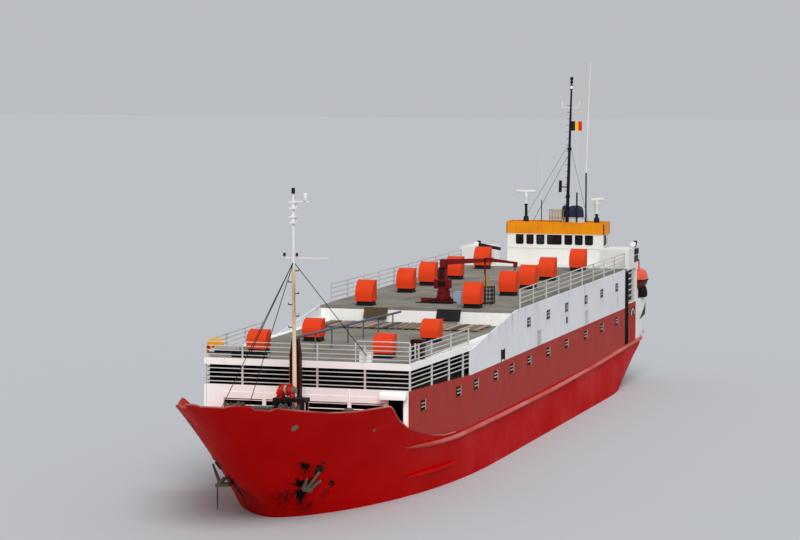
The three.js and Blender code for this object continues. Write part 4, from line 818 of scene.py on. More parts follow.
mast_white = enamel("cream mast enamel", "#e9e8e4", "#d8d2c2", chalk=0.9, runs=0.5, spots=0.4, rust="#9a6a30",
                    roughness=0.5, stain_colour="#8a4f1e")
mast_cream = enamel("yellowed mast enamel", "#e9dfc4", "#d6bd80", chalk=0.9, runs=0.9, spots=0.5,
                    rust="#9a5a22", roughness=0.55, stain_colour="#8a4a1c")
maroon = enamel("maroon enamel", "#330606", "#43100e", chalk=0.6, runs=0.2, spots=0.3, rust="#2a0f0c")
wire = enamel("tarred steel wire", "#16171a", "#23211f", runs=0, spots=0.1, roughness=0.6, dent=0.05)
lamp_glass = new_material("frosted lamp glass", 0.2, "#dfe6e8")[0]
pole_x, pole_joint, lamp_zs = 23.2, 13.2, (15.59, 16.38)
mast_foot = bow_deck_z(23.36)
pole = [tube([(pole_x, 0, pole_joint), (pole_x, 0, 17.25)], [0.085, 0.065], 20),
        plank((pole_x, 0, 16.8), (pole_x, 0.92, 16.8), 0.06, 0.06),
        plank((pole_x, -0.62, 13.72), (pole_x, 2.04, 13.72), 0.06, 0.07)]
for z in lamp_zs:
    pole += [block(pole_x, 0, z + rise, z + rise + 0.09, 0.18, 0.19) for rise in (0, 0.33)]
    pole += [slab(pole_x - 0.17, pole_x - 0.09, -0.17, 0.17, z, z + 0.4)]
upper_mast = piece("foremast_pole", pole, mast_white, "white_paint", replaces="foremast", smooth=40)
stain(upper_mast, [(23.0, 0.6, 15.6, 1.2, 0.5)])
taper = [(0.05, mast_foot, 0.13), (0.04, 7, 0.12), (0.03, 9, 0.11), (0.02, 10.5, 0.1), (0.01, 12, 0.095),
         (0, pole_joint, 0.088)]
foot_pole = tube([(pole_x, y, z) for y, z, _ in taper], [r for _, _, r in taper], 20)
lower_mast = piece("foremast_foot", [foot_pole], mast_cream, "white_paint", smooth=40)
stain(lower_mast, [(23.0, 0.6, 12.6, 4.5, 1.0)])
steps = [tube([(pole_x, 0, 17.22), (pole_x, 0, 17.53)], 0.1, 16)]
steps += [tube([(pole_x + 0.06, y, 13.8), (pole_x + 0.06, y, 13.98)], 0.07, 12) for y in (0.22, -0.5)]
for i, z in enumerate(np.arange(9.9, 13.4, 0.62)):
    y = 0.3 if i % 2 else -0.3
    steps.append(tube([(pole_x, y / 4, z), (pole_x, y, z), (pole_x, y, z + 0.1)], 0.03, 6))
piece("foremast_steps", steps, coaming_black_and_shade, "black_paint", smooth=40)
box = [slab(22.64, 23.1, -0.29, 0.29, mast_foot, 8.4),
       panel([(-0.29, 8.4), (0.29, 8.4), (0.16, 9.25), (-0.16, 9.25)], 22.66, 23.08, "x")]
box += [slab(22.62, 23.12, -0.31, 0.31, z, z + 0.05) for z in (6.0, 7.2, 8.36)]
box += [slab(23.0, 23.25, -0.1, 0.1, z, z + 0.08) for z in (5.2, 7.4, 8.9)]
piece("foremast_pedestal", box, maroon, "crane_red", bevel=0.006)
lenses = [tube([(pole_x + 0.03, 0, z + 0.09), (pole_x + 0.03, 0, z + 0.33)], 0.12, 20) for z in lamp_zs]
lenses.append(tube([(pole_x, 0.69, z) for z in (16.83, 16.9, 17.2, 17.25)], [0.1, 0.13, 0.13, 0.08], 16))
piece("foremast_lenses", lenses, lamp_glass, "white_paint", smooth=40)
stay_head, bow_foot, side_foot = (pole_x, 0, 13.5), bow_deck_z(30.6), bow_deck_z(27.9)
stay_feet = [(30.6, -0.25, bow_foot + 0.03), (27.9, -2.9, side_foot + 0.03), (21.3, 3.6, 8.21),
             (21.3, -3.2, 8.21)]
stays = [tube([stay_head, end], 0.022, 8) for end in stay_feet]
stays += [tube([(30.45, -0.245, bow_foot + 0.15), (30.58, -0.25, bow_foot + 0.02)], 0.05, 8),
          tube([(27.8, -2.84, side_foot + 0.18), (27.89, -2.9, side_foot + 0.02)], 0.05, 8)]
piece("foremast_stays", stays, wire, "black_paint", smooth=50)


# Mooring winch: a rope drum between round flanges in fresh red enamel, on a black stand before the
# foremast, with its gear case, brake band and rope-polished warping ends. The rope is polypropylene,
# laid in strands that are drawn about 10 mm apart.
def two_tone(name, roughness, low, high, pattern, settings, relief=0.0):
    """A material whose two colours follow one pattern, which raises its surface by relief metres."""
    made, tree, shader = new_material(name, roughness)
    where = add_node(tree, "ShaderNodeTexCoord").outputs["Object"]
    drawn = add_node(tree, pattern, settings, {"Vector": where})
    mixed = add_node(tree, "ShaderNodeMix", {"data_type": "RGBA", 6: linear(low), 7: linear(high)},
                     {0: drawn.outputs["Fac"]})
    tree.links.new(mixed.outputs[2], shader.inputs["Base Color"])
    if relief:
        folds = add_node(tree, "ShaderNodeBump", {"Strength": 0.6, "Distance": relief},
                         {"Height": drawn.outputs["Fac"]})
        tree.links.new(folds.outputs["Normal"], shader.inputs["Normal"])
    return made


winch_red = enamel("fresh red enamel", "#c0160f", "#b8281e", runs=0.1, roughness=0.4, dent=0.1)
bright_steel = enamel("rope-polished steel", "#77736b", "#5b4a3c", chalk=0.8, runs=0.1, spots=0.3,
                      roughness=0.35)
rope = two_tone("polypropylene mooring rope", 0.9, "#8f8a78", "#c4bda6", "ShaderNodeTexWave",
                {"Scale": 30.0, "Distortion": 2.0, "Detail": 3.0}, relief=0.01)
winch_x, winch_y, axle, stand_top = 24.1, -0.05, 6.55, 6.14
stand_foot = bow_deck_z(winch_x)
cheek = [(-0.3, stand_top), (0.3, stand_top), (0.16, axle + 0.16), (0.08, axle + 0.24), (-0.08, axle + 0.24),
         (-0.16, axle + 0.16)]
winch = [panel(cheek, y - 0.05, y + 0.05, "y") for y in (-0.3, 0.3)]
for y, r in ((-0.2, 0.37), (0.2, 0.37), (-0.42, 0.3), (0.04, 0.34)):
    winch.append(tube([(0, y - 0.025, axle), (0, y + 0.025, axle)], r, 28))
winch.append(slab(0.1, 0.38, -0.5, -0.22, stand_top, axle + 0.05))
winch.append(tube([(0.36, -0.36, axle - 0.1), (0.55, -0.36, axle - 0.1)], 0.12, 16))
piece("winch_frame", placed(winch, winch_x, winch_y), winch_red, "winch_red", replaces="mooring_winch",
      bevel=0.004, smooth=35)
stand = [block(a, b, stand_foot, stand_top - 0.05, 0.07, 0.07) for a in (-0.32, 0.32)
         for b in (-0.62, 0.0, 1.0)]
stand += [slab(0.3, 0.34, -0.62, 1.0, z, z + 0.1) for z in (5.2, 5.6)]
stand.append(slab(-0.42, 0.42, -0.72, 1.15, stand_top - 0.2, stand_top))
piece("winch_stand", placed(stand, winch_x, winch_y), coaming_black_and_shade, "black_paint", bevel=0.004)
turns = [(0.25 * math.cos(t), -0.16 + 0.05 * t / (2 * math.pi), axle + 0.25 * math.sin(t))
         for t in np.linspace(0, 6 * math.pi, 120)]
piece("rope_on_drum", placed([tube(turns, 0.025, 8)], winch_x, winch_y), rope, "winch_red", smooth=50)
barrels = [tube([(0, s * a, axle) for a in (0.36, 0.4, 0.46, 0.5)], [0.19, 0.13, 0.13, 0.19], 24)
           for s in (-1, 1)]
barrels.append(tube([(0, -0.4, axle), (0, 0.4, axle)], 0.2, 24))
piece("winch_barrels", placed(barrels, winch_x, winch_y), bright_steel, "winch_red", smooth=35)


# Windlass: a hand-painted grey double gypsy windlass whose chains lead over the deck to the hawse pipes.
# The chain is forged, with open links, and tarred.
def chain(path, size):
    """Open oval links along a path, every other one turned on edge."""
    points = [Vector(p) for p in path]
    lengths = np.cumsum([0] + [(b - a).length for a, b in zip(points, points[1:])])
    links = []
    for i, at in enumerate(np.arange(size, lengths[-1] - size / 2, size * 1.45)):
        k = min(int(np.searchsorted(lengths, at)) - 1, len(points) - 2)
        along = (points[k + 1] - points[k]).normalized()
        middle = points[k] + along * (at - lengths[k])
        flat = along.orthogonal().normalized()
        across = (along.cross(flat) if i % 2 else flat) * 0.62
        loop = [middle + size * (along * math.cos(t) + across * math.sin(t))
                for t in np.linspace(0, 2 * math.pi, 11)]
        links.append(tube(loop, size * 0.2, 5, ends=False))
    return links


iron_grey = enamel("dark grey windlass enamel", "#45484a", "#5a554c", chalk=0.8, runs=0.2, spots=0.8,
                   rust="#5a3622")
chain_iron = enamel("tarred chain iron", "#2a2622", "#4a3a2c", chalk=0.9, runs=0.1, spots=0.6,
                    rust="#5a3822", roughness=0.7)
windlass_x, windlass_z, shaft = 28.4, bow_deck_z(29.1), 0.75
windlass = [slab(-0.7, 0.7, -2.05, 2.05, -0.05, 0.2), slab(-0.4, 0.4, -0.5, 0.5, 0.15, 0.95),
            tube([(0, -2.0, shaft), (0, 2.0, shaft)], 0.12, 16)]
windlass_cheek = [(-0.3, 0.15), (0.3, 0.15), (0.14, 0.98), (-0.14, 0.98)]
for s in (-1, 1):
    windlass.append(panel(windlass_cheek, s * 1.55 - 0.07, s * 1.55 + 0.07, "y"))
    gypsy = [(0, s * 1.2 + d, shaft) for d in (-0.15, -0.1, -0.04, 0.04, 0.1, 0.15)]
    windlass.append(tube(gypsy, [0.44, 0.42, 0.28, 0.28, 0.42, 0.44], 24))
    warping_end = [(0, s * (1.75 + d), shaft) for d in (0, 0.05, 0.22, 0.28)]
    windlass.append(tube(warping_end, [0.4, 0.26, 0.26, 0.4], 24))
piece("windlass_body", placed(windlass, windlass_x, 0, windlass_z), iron_grey, "windlass_grey",
      replaces="windlass", bevel=0.004, smooth=35)
deck_chain = []
for sign in (1, -1):
    lead = [(windlass_x + 0.45, sign * 1.2, windlass_z + shaft),
            (windlass_x + 0.9, sign * 1.25, windlass_z + 0.35),
            (29.55, sign * 1.35, bow_deck_z(29.5) + 0.16), (29.95, sign * 1.4, bow_deck_z(29.9) + 0.02)]
    deck_chain += chain(lead, 0.11)
    spurling = [(29.9, sign * 1.4, bow_deck_z(29.9) + rise) for rise in (-0.02, 0.1)]
    deck_chain.append(tube(spurling, [0.3, 0.24], 20, ends=False))
piece("anchor_chain_on_deck", deck_chain, chain_iron, "anchor_iron", smooth=50)

# Bollards and vents of the forecastle deck: cast and welded steel, grey over rust. The bollards are
# double, on foot plates turned to the bulwark's line.
deck_fittings = []
for x, y, turn in ((26.6, 3.9, -0.3), (26.6, -3.9, 0.3), (31.6, 1.9, -0.7), (31.6, -1.9, 0.7)):
    base = [slab(-0.5, 0.5, -0.18, 0.18, 0.0, 0.08)]
    base += [tube([(d, 0, 0.05), (d, 0, 0.5), (d, 0, 0.5), (d, 0, 0.58)], [0.14, 0.14, 0.18, 0.17], 16)
             for d in (-0.28, 0.28)]
    deck_fittings += [moved(part, x, y, bow_deck_z(x), turn=turn) for part in base]
for x, y in ((23.4, 3.2), (23.6, -3.4)):
    head = [(x, y, bow_deck_z(x) + rise) for rise in (0, 0.9, 0.9, 1.0, 1.1)]
    deck_fittings.append(tube(head, [0.14, 0.14, 0.3, 0.3, 0.12], 16))
piece("bow_bollards", deck_fittings, iron_grey, "windlass_grey", smooth=35)


# Bower anchors: stockless anchors of cast steel, tarry black with rust. The port one is drawn up under
# its hawse pipe against the flare, and the shell below it and its pipes is darkened to near black in runs
# that lean aft.
def fitted(part, x, z, tilt=0.0):
    """Moves a part drawn as (forward, outward, up) onto the port shell at a place, tilted in its plane."""
    def on_shell(px, pz):
        return Vector((px, half_breadth(px, pz), pz))

    forward = (on_shell(x + 0.05, z) - on_shell(x - 0.05, z)).normalized()
    out = (on_shell(x, z + 0.05) - on_shell(x, z - 0.05)).cross(forward).normalized()
    upward = forward.cross(out)
    corners = []
    for a, b, c in part[0]:
        a, c = a * math.cos(tilt) + c * math.sin(tilt), c * math.cos(tilt) - a * math.sin(tilt)
        corners.append(on_shell(x, z) + forward * a + out * b + upward * c)
    return corners, part[1]


anchor_black = enamel("rusty anchor iron", "#5f5446", "#8a7d68", chalk=0.9, runs=0.9, spots=0.8,
                      rust="#2a2019", roughness=0.8, dent=0.4)
crown = [(-0.3, -0.16), (0.3, -0.16), (0.34, 0.04), (0.14, 0.08), (-0.14, 0.08), (-0.34, 0.04)]
fluke = [(0.12, -0.04), (0.34, -0.08), (0.44, 0.24), (0.54, 0.66), (0.3, 0.32)]
housed = [tube([(0, 0.12, -0.05), (0, 0.12, 0.6), (0, 0.08, 1.15)], [0.1, 0.08, 0.07], 12),
          panel(crown, 0.02, 0.27, "y")]
housed += [panel([(end * a, b) for a, b in fluke], 0.05, 0.18, "y") for end in (-1, 1)]
piece("bower_anchor_port", [fitted(part, 27.3, 1.85, -0.3) for part in housed], anchor_black, "anchor_iron",
      replaces="anchor_port", bevel=0.006, smooth=35)
# The starboard anchor hangs plumb from its pipe, clear of the flare, with a tripping chain at its crown.
hung = [tube([(27.45, -3.14, 2.85), (27.38, -2.98, 2.35), (27.3, -2.78, 1.75)], [0.06, 0.08, 0.1], 12),
        plank((27.3, -2.98, 1.7), (27.3, -2.2, 1.76), 0.5, 0.19)]
hung += [plank((x, -2.88, 1.72), (x, -2.46, 2.14), 0.1, 0.15) for x in (27.08, 27.52)]
piece("bower_anchor_starboard", hung, anchor_black, "anchor_iron", replaces="anchor_starboard", bevel=0.006,
      smooth=35)
piece("tripping_chain", chain([(27.3, -2.94, 1.62), (27.3, -2.94, 0.3)], 0.07), chain_iron, "anchor_iron",
      smooth=50)
lip = [(0.26 * math.cos(t), 0.02, 0.22 * math.sin(t)) for t in np.linspace(0, 2 * math.pi, 21)]
hawse = [fitted(tube(lip, 0.05, 8, ends=False), 27.42, 2.78)]
for x, z, r, sides in ((27.42, 2.78, 0.22, 20), (27.44, 3.16, 0.12, 12), (25.83, 1.8, 0.12, 12)):
    hawse.append(fitted(tube([(0, -0.05, 0), (0, 0.03, 0)], r, sides), x, z))
pair("hawse_pipe", hawse, coaming_black_and_shade, "black_paint", smooth=40)
chock = [(0.22 * math.cos(t), 0.22 * math.sin(t)) for t in 0.39 + np.arange(8) * math.pi / 4]
pair("chock_plate", [fitted(panel(chock, -0.03, 0.04, "y"), 31.39, 5.58)], bright_steel, "windlass_grey",
     bevel=0.004)
pair("bow_fitting", [fitted(slab(-0.1, 0.1, -0.03, 0.05, -0.06, 0.06), 24.86, 4.68)], bright_steel,
     "windlass_grey", bevel=0.004)
# Near-black runs down the shell below the port anchor and its pipes, leaning aft.
stain(shell, [(28.68, 0.3, 3.3, 0.9, 3, 0.93), (27.5, 0.2, 2.95, 0.5, 3, 0.93),
              (27.85, 0.5, 2.25, 1.1, 3, 0.93), (27.35, 0.22, 1.6, 1.7, 3, 0.85),
              (25.85, 0.16, 1.95, 0.5, 2.5, 0.7), (25.75, 0.1, 1.4, 1.1, 2, 0.2),
              (26.1, 0.14, 0.7, 0.7, 2, 0.4), (28.1, 0.35, 1.6, 1.5, 1.4, 0.93)])

# Front of the house: a maroon locker at the port rail, a white cabinet, a grey board and slatted box to
# starboard with a yellow moulded reel cover on them, a dark net down the starboard side of the pens,
# and the pipe handrail down the middle to the step.
grey_board = enamel("light grey enamel", "#b4b5b2", "#8f8f8a", chalk=0.8, spots=0.4, rust="#5c4534")
cover_yellow = enamel("yellow moulded plastic", "#e9a312", "#d08c12", chalk=0.8, runs=0.2, spots=0.1,
                      rust="#8a5a1a", roughness=0.4, dent=0.1)
pipe_grey = enamel("blue-grey handrail enamel", "#4d5768", "#6d7684", chalk=0.7, runs=0.2, spots=0.3)
port_locker = [slab(18.0, 18.6, 5.36, 5.96, fore_deck_top, 8.5), slab(17.95, 18.65, 5.3, 6.0, 8.5, 8.92)]
piece("port_locker", port_locker, maroon, "crane_red", bevel=0.006)
piece("locker_pipes", [tube([(18.7, y, fore_deck_top), (18.7, y, 8.72)], 0.055, 10) for y in (5.6, 5.8)],
      rail_paint, "rail_grey", smooth=40)
cabinet = [slab(20.5, 20.8, 2.99, 3.68, 7.82, 8.34), slab(20.48, 20.83, 2.96, 3.71, 8.34, 8.38),
           slab(20.8, 20.815, 3.05, 3.62, 7.9, 8.27)]
piece("front_cabinet", cabinet, front_white, "white_paint", bevel=0.004)
stores = [slab(20.2, 20.7, -5.6, -4.1, 8.26, 8.48), slab(20.2, 20.62, -6.0, -4.6, fore_deck_top, 7.9)]
stores += [slab(20.6, 20.64, -6.0, -4.6, z, z + 0.07) for z in (7.83, 7.95, 8.07)]
piece("stores_box", stores, grey_board, "white_paint", bevel=0.004)
frame_parts = [slab(20.2, 20.55, -5.95, -2.6, fore_deck_top, 8.06), slab(20.2, 20.66, -5.6, -2.6, 8.08, 8.2)]
frame_parts += [slab(20.25, 20.35, y - 0.05, y + 0.05, 8.0, 8.3) for y in (-5.5, -4.2)]
piece("stores_frame", frame_parts, coaming_black_and_shade, "black_paint")
dome = [(-5.6 + 0.45 * math.cos(t), 8.45 + 0.41 * math.sin(t)) for t in np.linspace(0, math.pi, 25)]
piece("reel_cover", [panel(dome, 20.3, 20.7, "x"), slab(20.32, 20.72, -5.9, -5.7, 8.28, 8.46)], cover_yellow,
      "band_yellow", bevel=0.02, smooth=40)
valve = [tube([(20.6, -5.98, 8.34), (20.78, -5.98, 8.34)], 0.14, 14),
         tube([(20.7, -5.98, 8.05), (20.7, -5.98, 8.3)], 0.05, 10)]
piece("reel_valve", valve, winch_red, "winch_red", smooth=40)
piece("pen_screen", [slab(10.6, 20.9, -5.8, -5.77, 6.05, 7.4)], dark_net, "black_paint")
rail_aft, rail_fore = Vector((2.0, -0.33, 8.77)), Vector((20.5, -0.75, 9.05))
handrail = [tube([rail_fore, rail_aft], 0.07, 12)]
for x in np.arange(3.5, 20.6, 2.8):
    under_rail = rail_aft.lerp(rail_fore, (x - rail_aft.x) / (rail_fore.x - rail_aft.x))
    handrail.append(tube([(x, under_rail.y, 7.83), (x, under_rail.y, under_rail.z - 0.02)], 0.045, 8))
piece("centre_handrail", handrail, pipe_grey, "rail_grey", smooth=40)

# Hatch flaps on the step: flat steel plates hung by their top edge and standing open, the starboard one
# brown and the port one tarred black.
flap_brown = enamel("brown hatch enamel", "#4b3a26", "#5c4a36", chalk=0.7, runs=0.2, spots=0.3, roughness=0.6)
dress(["flap_starboard"], flap_brown)
dress(["flap_port"], coaming_black_and_shade)


# Wheelhouse: white plate over the hollow bridge, with rubber-set panes in rounded frames, a drip rail
# over them, and a door on each side with its light and handle.
def rounded(a0, a1, b0, b1, r):
    """A rounded rectangle as an outline."""
    outline, steps = [], 5
    middles = ((a1 - r, b1 - r, 0), (a0 + r, b1 - r, 90), (a0 + r, b0 + r, 180), (a1 - r, b0 + r, 270))
    for ca, cb, start in middles:
        for k in range(steps + 1):
            turn = math.radians(start + 90 * k / steps)
            outline.append((ca + r * math.cos(turn), cb + r * math.sin(turn)))
    return outline


def seal(outline, grow, low, high, axis):
    """A frame round an outline, as wide as grow."""
    count = len(outline)
    ca, cb = sum(a for a, _ in outline) / count, sum(b for _, b in outline) / count
    outer = [(a + math.copysign(grow, a - ca), b + math.copysign(grow, b - cb)) for a, b in outline]
    loops = ((outline, low), (outer, low), (outer, high), (outline, high))
    corners = [raised(axis, a, b, c) for loop, c in loops for a, b in loop]
    # The last loop is joined to the first one again.
    return corners, [tuple(i % len(corners) for i in face) for face in girdled(len(loops) + 1, count)]


house_white = enamel("clean white enamel", "#e8e7e3", "#d6d2c8", runs=0.12, spots=0.1, rust="#a5805c",
                     seams=(1.8, 1.2), dent=0.2)
dress(["wheelhouse", "bridge_door_port", "bridge_door_starboard"], house_white)
pane_glass, _, shader = new_material("dark window glass", 0.06, "#141a1e")
shader.inputs["Transmission Weight"].default_value = 0.12
shader.inputs["IOR"].default_value = 1.5
bridge_front, bridge_back, bridge_side = -37.54, -39.5, 3.76
window_low, window_high = 10.3, 10.96
front_windows = [(-3.03, -2.52), (-2.2, -1.73), (-1.42, -0.88), (-0.58, 0.47), (0.78, 1.3), (1.6, 2.11),
                 (2.38, 2.91)]
back_windows = [(-2.6, -1.7), (-0.5, 0.5), (1.7, 2.6)]
windows = [(y0, y1, bridge_front, -1, "x") for y0, y1 in front_windows]
windows += [(y0, y1, bridge_back, 1, "x") for y0, y1 in back_windows]
windows += [(-38.3, -37.75, wall, -1, "y") for wall in (bridge_side, -bridge_side)]
panes, seals = [], []
for low, high, wall, way, axis in windows:
    outline = rounded(low, high, window_low, window_high, 0.12)
    near, far = (0.01, 0.03) if axis == "y" else (0.02, 0.04)
    panes.append(panel(outline, wall + way * near, wall + way * far, axis))
    seals.append(seal(outline, 0.05, wall - way * 0.03, wall + way * 0.05, axis))
piece("bridge_panes", panes, pane_glass, "black_paint")
piece("window_seals", seals, rubber, "black_paint")
trims = [slab(bridge_front, bridge_front + 0.05, -bridge_side, bridge_side, 11.0, 11.05),
         slab(bridge_front, bridge_front + 0.04, -bridge_side, bridge_side, 9.95, 9.99)]
trims += [slab(bridge_back, bridge_front, wall - 0.02, wall + 0.04, 11.0, 11.05)
          for wall in (bridge_side, -bridge_side)]
piece("bridge_drip_rails", trims, house_white, "white_paint", bevel=0.003)
grip_y = bridge_side + 0.06
handle = [(-39.1, bridge_side, 9.9), (-39.1, grip_y, 9.9), (-39.1, grip_y, 10.1), (-39.1, bridge_side, 10.1)]
pair("door_handle", [tube(handle, 0.018, 8)], bright_steel, "white_paint", body="bridge_door", smooth=40)
door_light = rounded(-39.0, -38.66, 10.3, 10.74, 0.08)
pair("door_light", [panel(door_light, bridge_side - 0.045, bridge_side - 0.02, "y")], pane_glass,
     "black_paint", body="bridge_door")

# Monkey island: a deep band of amber enamel round the roof, gone orange where rust has bled through it,
# with black scanner posts under white heads and bars, and the whip aerials inside it.
amber = enamel("amber enamel", "#ee9c0c", "#d8720c", chalk=1.0, runs=0.9, spots=0.25, rust="#c4561a")
roof_foot, roof_top, band_top, band_thick = 11.051, 11.17, 11.97, 0.08
band_front, band_back, band_side = -37.48, -39.56, 3.82
band = [slab(bridge_back, bridge_front, -3.78, 3.78, roof_foot, roof_top)]
for low, high, fixed, inward, axis, chamfer in (
        (-band_side, band_side, band_front, -1, "x", 0.16), (-band_side, band_side, band_back, 1, "x", 0.16),
        (band_back, band_front, band_side, -1, "y", 0.0), (band_back, band_front, -band_side, 1, "y", 0.0)):
    outline = [(low, roof_foot), (high, roof_foot), (high, band_top - chamfer), (high - chamfer, band_top),
               (low + chamfer, band_top), (low, band_top - chamfer)]
    band.append(panel(outline, fixed, fixed + inward * band_thick, axis))
piece("roof_band", band, amber, "band_yellow", replaces="bridge_roof", bevel=0.005)
scanners = [("starboard", -38.4, -2.5, 13.95, 13.3, 0), ("port", -38.4, 3.04, 13.4, 12.6, 1.05)]
posts = [tube([(-38.6, 2.15, roof_top), (-38.6, 2.15, 15.7)], 0.06, 12),
         tube([(-38.5, 1.46, roof_top), (-38.5, 1.46, 14.2)], 0.06, 12),
         tube([(-38.6, -1.33, roof_top), (-38.6, -1.33, 13.6)], 0.035, 8)]
heads = []
for name, x, y, top, joint, turn in scanners:
    foot = [(x, y, z) for z in (roof_top, 11.3, 11.3, 12.25, 12.35)]
    posts.append(tube(foot, [0.32, 0.32, 0.27, 0.2, 0.13], 20))
    posts.append(tube([(x, y, 12.2), (x, y, joint)], [0.11, 0.1], 16))
    posts.append(tube([(x, y, joint - 0.12), (x, y, joint - 0.06)], 0.16, 16))
    head = [(x, y, z) for z in (joint, top - 0.28, top - 0.05, top)]
    heads.append(tube(head, [0.13, 0.13, 0.24, 0.24], 16))
    wing = [(-0.09, 0.2), (0.05, 0.18), (0.09, 0.24), (0.09, 0.36), (0.04, 0.4), (-0.07, 0.38)]
    bar = [moved(panel(wing, -0.72, 0.72, "y"), turn=turn), tube([(0, 0, 0), (0, 0, 0.2)], [0.1, 0.08], 16)]
    # The bar turns 0.6 mm over its head, free of it.
    piece(f"scanner_bar_{name}", placed(bar, x, y, top + 0.0013), house_white, "white_paint",
          body=f"scanner_{name}", replaces=f"scanner_{name}", bevel=0.004, smooth=35)
piece("scanner_posts", posts, coaming_black_and_shade, "black_paint", smooth=40)
piece("scanner_heads", heads, house_white, "white_paint", smooth=40)
whips = [tube([(-38.6, 2.15, 15.6), (-38.6, 2.28, 20), (-38.6, 2.45, 24.1)], [0.05, 0.04, 0.025], 8),
         tube([(-38.6, -1.33, 13.5), (-38.6, -1.33, 17.5)], [0.02, 0.012], 6),
         tube([(-38.5, 1.46, 14.1), (-38.5, 1.46, 18.6)], [0.02, 0.012], 6)]
piece("whip_aerials", whips, mast_white, "white_paint", smooth=40)

# Main mast: a black tubular mast raked aft, with steps, lamps, the white aerial fork and its wires,
# which are drawn taut to the roof band.
mast_black = enamel("black mast enamel", "#121317", "#23242a", runs=0.1, dent=0.1)
mast_low, mast_high = (-38.25, 0.74, roof_top), (-39.1, 0.88, 23.0)


def on_mast(z, dy=0.0, dx=0.0):
    share = (z - mast_low[2]) / (mast_high[2] - mast_low[2])
    x = mast_low[0] + (mast_high[0] - mast_low[0]) * share
    y = mast_low[1] + (mast_high[1] - mast_low[1]) * share
    return (x + dx, y + dy, z)


mast = [tube([mast_low, on_mast(15), mast_high], [0.14, 0.12, 0.06], 20),
        tube([mast_low, on_mast(11.26)], 0.3, 20),
        plank(on_mast(14.6, -0.64), on_mast(14.6, 0.06), 0.08, 0.08),
        tube([on_mast(14.2, -0.62), on_mast(15.1, -0.62)], 0.12, 16)]
for z in np.arange(11.8, 21, 0.5):
    rung = [on_mast(z, -0.1, 0.05), on_mast(z, -0.24, 0.1), on_mast(z, -0.24, -0.1), on_mast(z, -0.1, -0.1)]
    mast.append(tube(rung, 0.015, 6))
for z, r in ((12.9, 0.17), (13.8, 0.17), (17.4, 0.17), (22.5, 0.11), (22.75, 0.13)):
    mast.append(tube([on_mast(z), on_mast(z + 0.2)], r, 16))
piece("mast_pole", mast, mast_black, "black_paint", replaces="main_mast", smooth=40)
piece("mast_lenses", [tube([on_mast(22.08), on_mast(22.32)], 0.13, 16)], lamp_glass, "white_paint", smooth=40)
piece("mast_lamp_caps", [tube([on_mast(z), on_mast(z + 0.05)], 0.145, 16) for z in (22.03, 22.32)],
      coaming_black_and_shade, "black_paint", smooth=40)
fork = []
for s in (1, -1):
    prong = [(20.62, 0.05), (20.62, 0.57), (20.72, 0.65), (21.15, 0.67)]
    fork.append(tube([on_mast(z, s * out) for z, out in prong], 0.03, 8))
piece("aerial_fork", fork, house_white, "white_paint", smooth=40)
wire_ends = [(18.0, -37.6, -2.6), (17.2, -37.6, -1.8), (18.0, -37.6, 2.6), (17.2, -39.4, -2.2)]
wires = [tube([on_mast(z), (x, y, 11.9)], 0.012, 6) for z, x, y in wire_ends]
piece("mast_wires", wires, wire, "black_paint", smooth=50)


# Covered gear: two bundles on the bridge roof under dark blue tarpaulins, pulled into folds by their
# lashings, with a low slatted rack beside them. The cloth is blotched over 70 mm.
def bundle(x, y, z, rx, ry, high, folds):
    """A closed mound of cloth whose sides fall in folds."""
    rings = [(0.0, 1.0), (0.25, 0.98), (0.55, 0.96), (0.8, 0.88), (0.93, 0.7), (1.0, 0.35)]
    corners, sides = [], 48
    for rise, wide in rings:
        for t in np.arange(sides) * 2 * math.pi / sides:
            fold = 1 + 0.05 * (1 - rise) * math.sin(folds * t) + 0.02 * math.sin(3 * t + 4 * rise)
            reach = 0.8 * wide * fold / max(abs(math.cos(t)), abs(math.sin(t))) ** 0.6
            corners.append((x + rx * reach * math.cos(t), y + ry * reach * math.sin(t), z + high * rise))
    return corners, girdled(len(rings), sides) + capped(len(rings), sides)


tarpaulin = two_tone("dark blue tarpaulin", 0.7, "#14163a", "#252a55", "ShaderNodeTexNoise",
                     {"Scale": 14.0, "Detail": 6.0}, relief=0.02)
covers = [bundle(-38.99, 0.45, 12.15, 0.25, 0.36, 1.02, 7), bundle(-38.99, 1.25, 12.15, 0.25, 0.8, 1.02, 10)]
piece("tarpaulin_covers", covers, tarpaulin, "blue_cover", replaces="covered_gear", smooth=50)
locker_foot = roof_top + 0.001
lockers = [slab(-39.28, -38.76, y0, y1, locker_foot, 12.2) for y0, y1 in ((0.32, 0.84), (0.98, 2.0))]
lockers += [slab(-38.77, -38.73, y - 0.04, y + 0.04, locker_foot, 12.25) for y in (0.3, 0.9, 1.5, 2.02)]
lockers += [slab(-38.77, -38.73, 0.3, 2.03, z, z + 0.06) for z in (11.7, 12.2)]
piece("roof_lockers", lockers, house_white, "white_paint", bevel=0.004)
rack = [slab(-38.7, -38.66, y, y + 0.05, roof_top, 12.85) for y in np.arange(-0.75, 0.45, 0.12)]
rack += [slab(-38.72, -38.64, -0.78, 0.45, z, z + 0.05) for z in (11.5, 12.2, 12.8)]
piece("slatted_rack", rack, sling_yellow, "timber")

# Ensign: a small tricolour in black, yellow and red bunting, hanging in soft folds from its halyard.
# The threads are drawn 11 mm apart, coarser than real ones, so that they show.
bunting, tree, shader = new_material("flag bunting", 0.9)
stripe = add_node(tree, "ShaderNodeAttribute", {"attribute_name": "stripe"})
fly = add_node(tree, "ShaderNodeValToRGB", None, {"Fac": stripe.outputs["Fac"]})
fly.color_ramp.interpolation = "CONSTANT"
fly.color_ramp.elements[0].color = linear("#15151a")
fly.color_ramp.elements[1].position = 0.36
fly.color_ramp.elements[1].color = linear("#f2c81c")
fly.color_ramp.elements.new(0.66).color = linear("#d6201c")
tree.links.new(fly.outputs["Color"], shader.inputs["Base Color"])
threads = add_node(tree, "ShaderNodeTexNoise", {"Scale": 90.0, "Detail": 2.0})
weave = add_node(tree, "ShaderNodeBump", {"Strength": 0.3, "Distance": 0.001},
                 {"Height": threads.outputs["Fac"]})
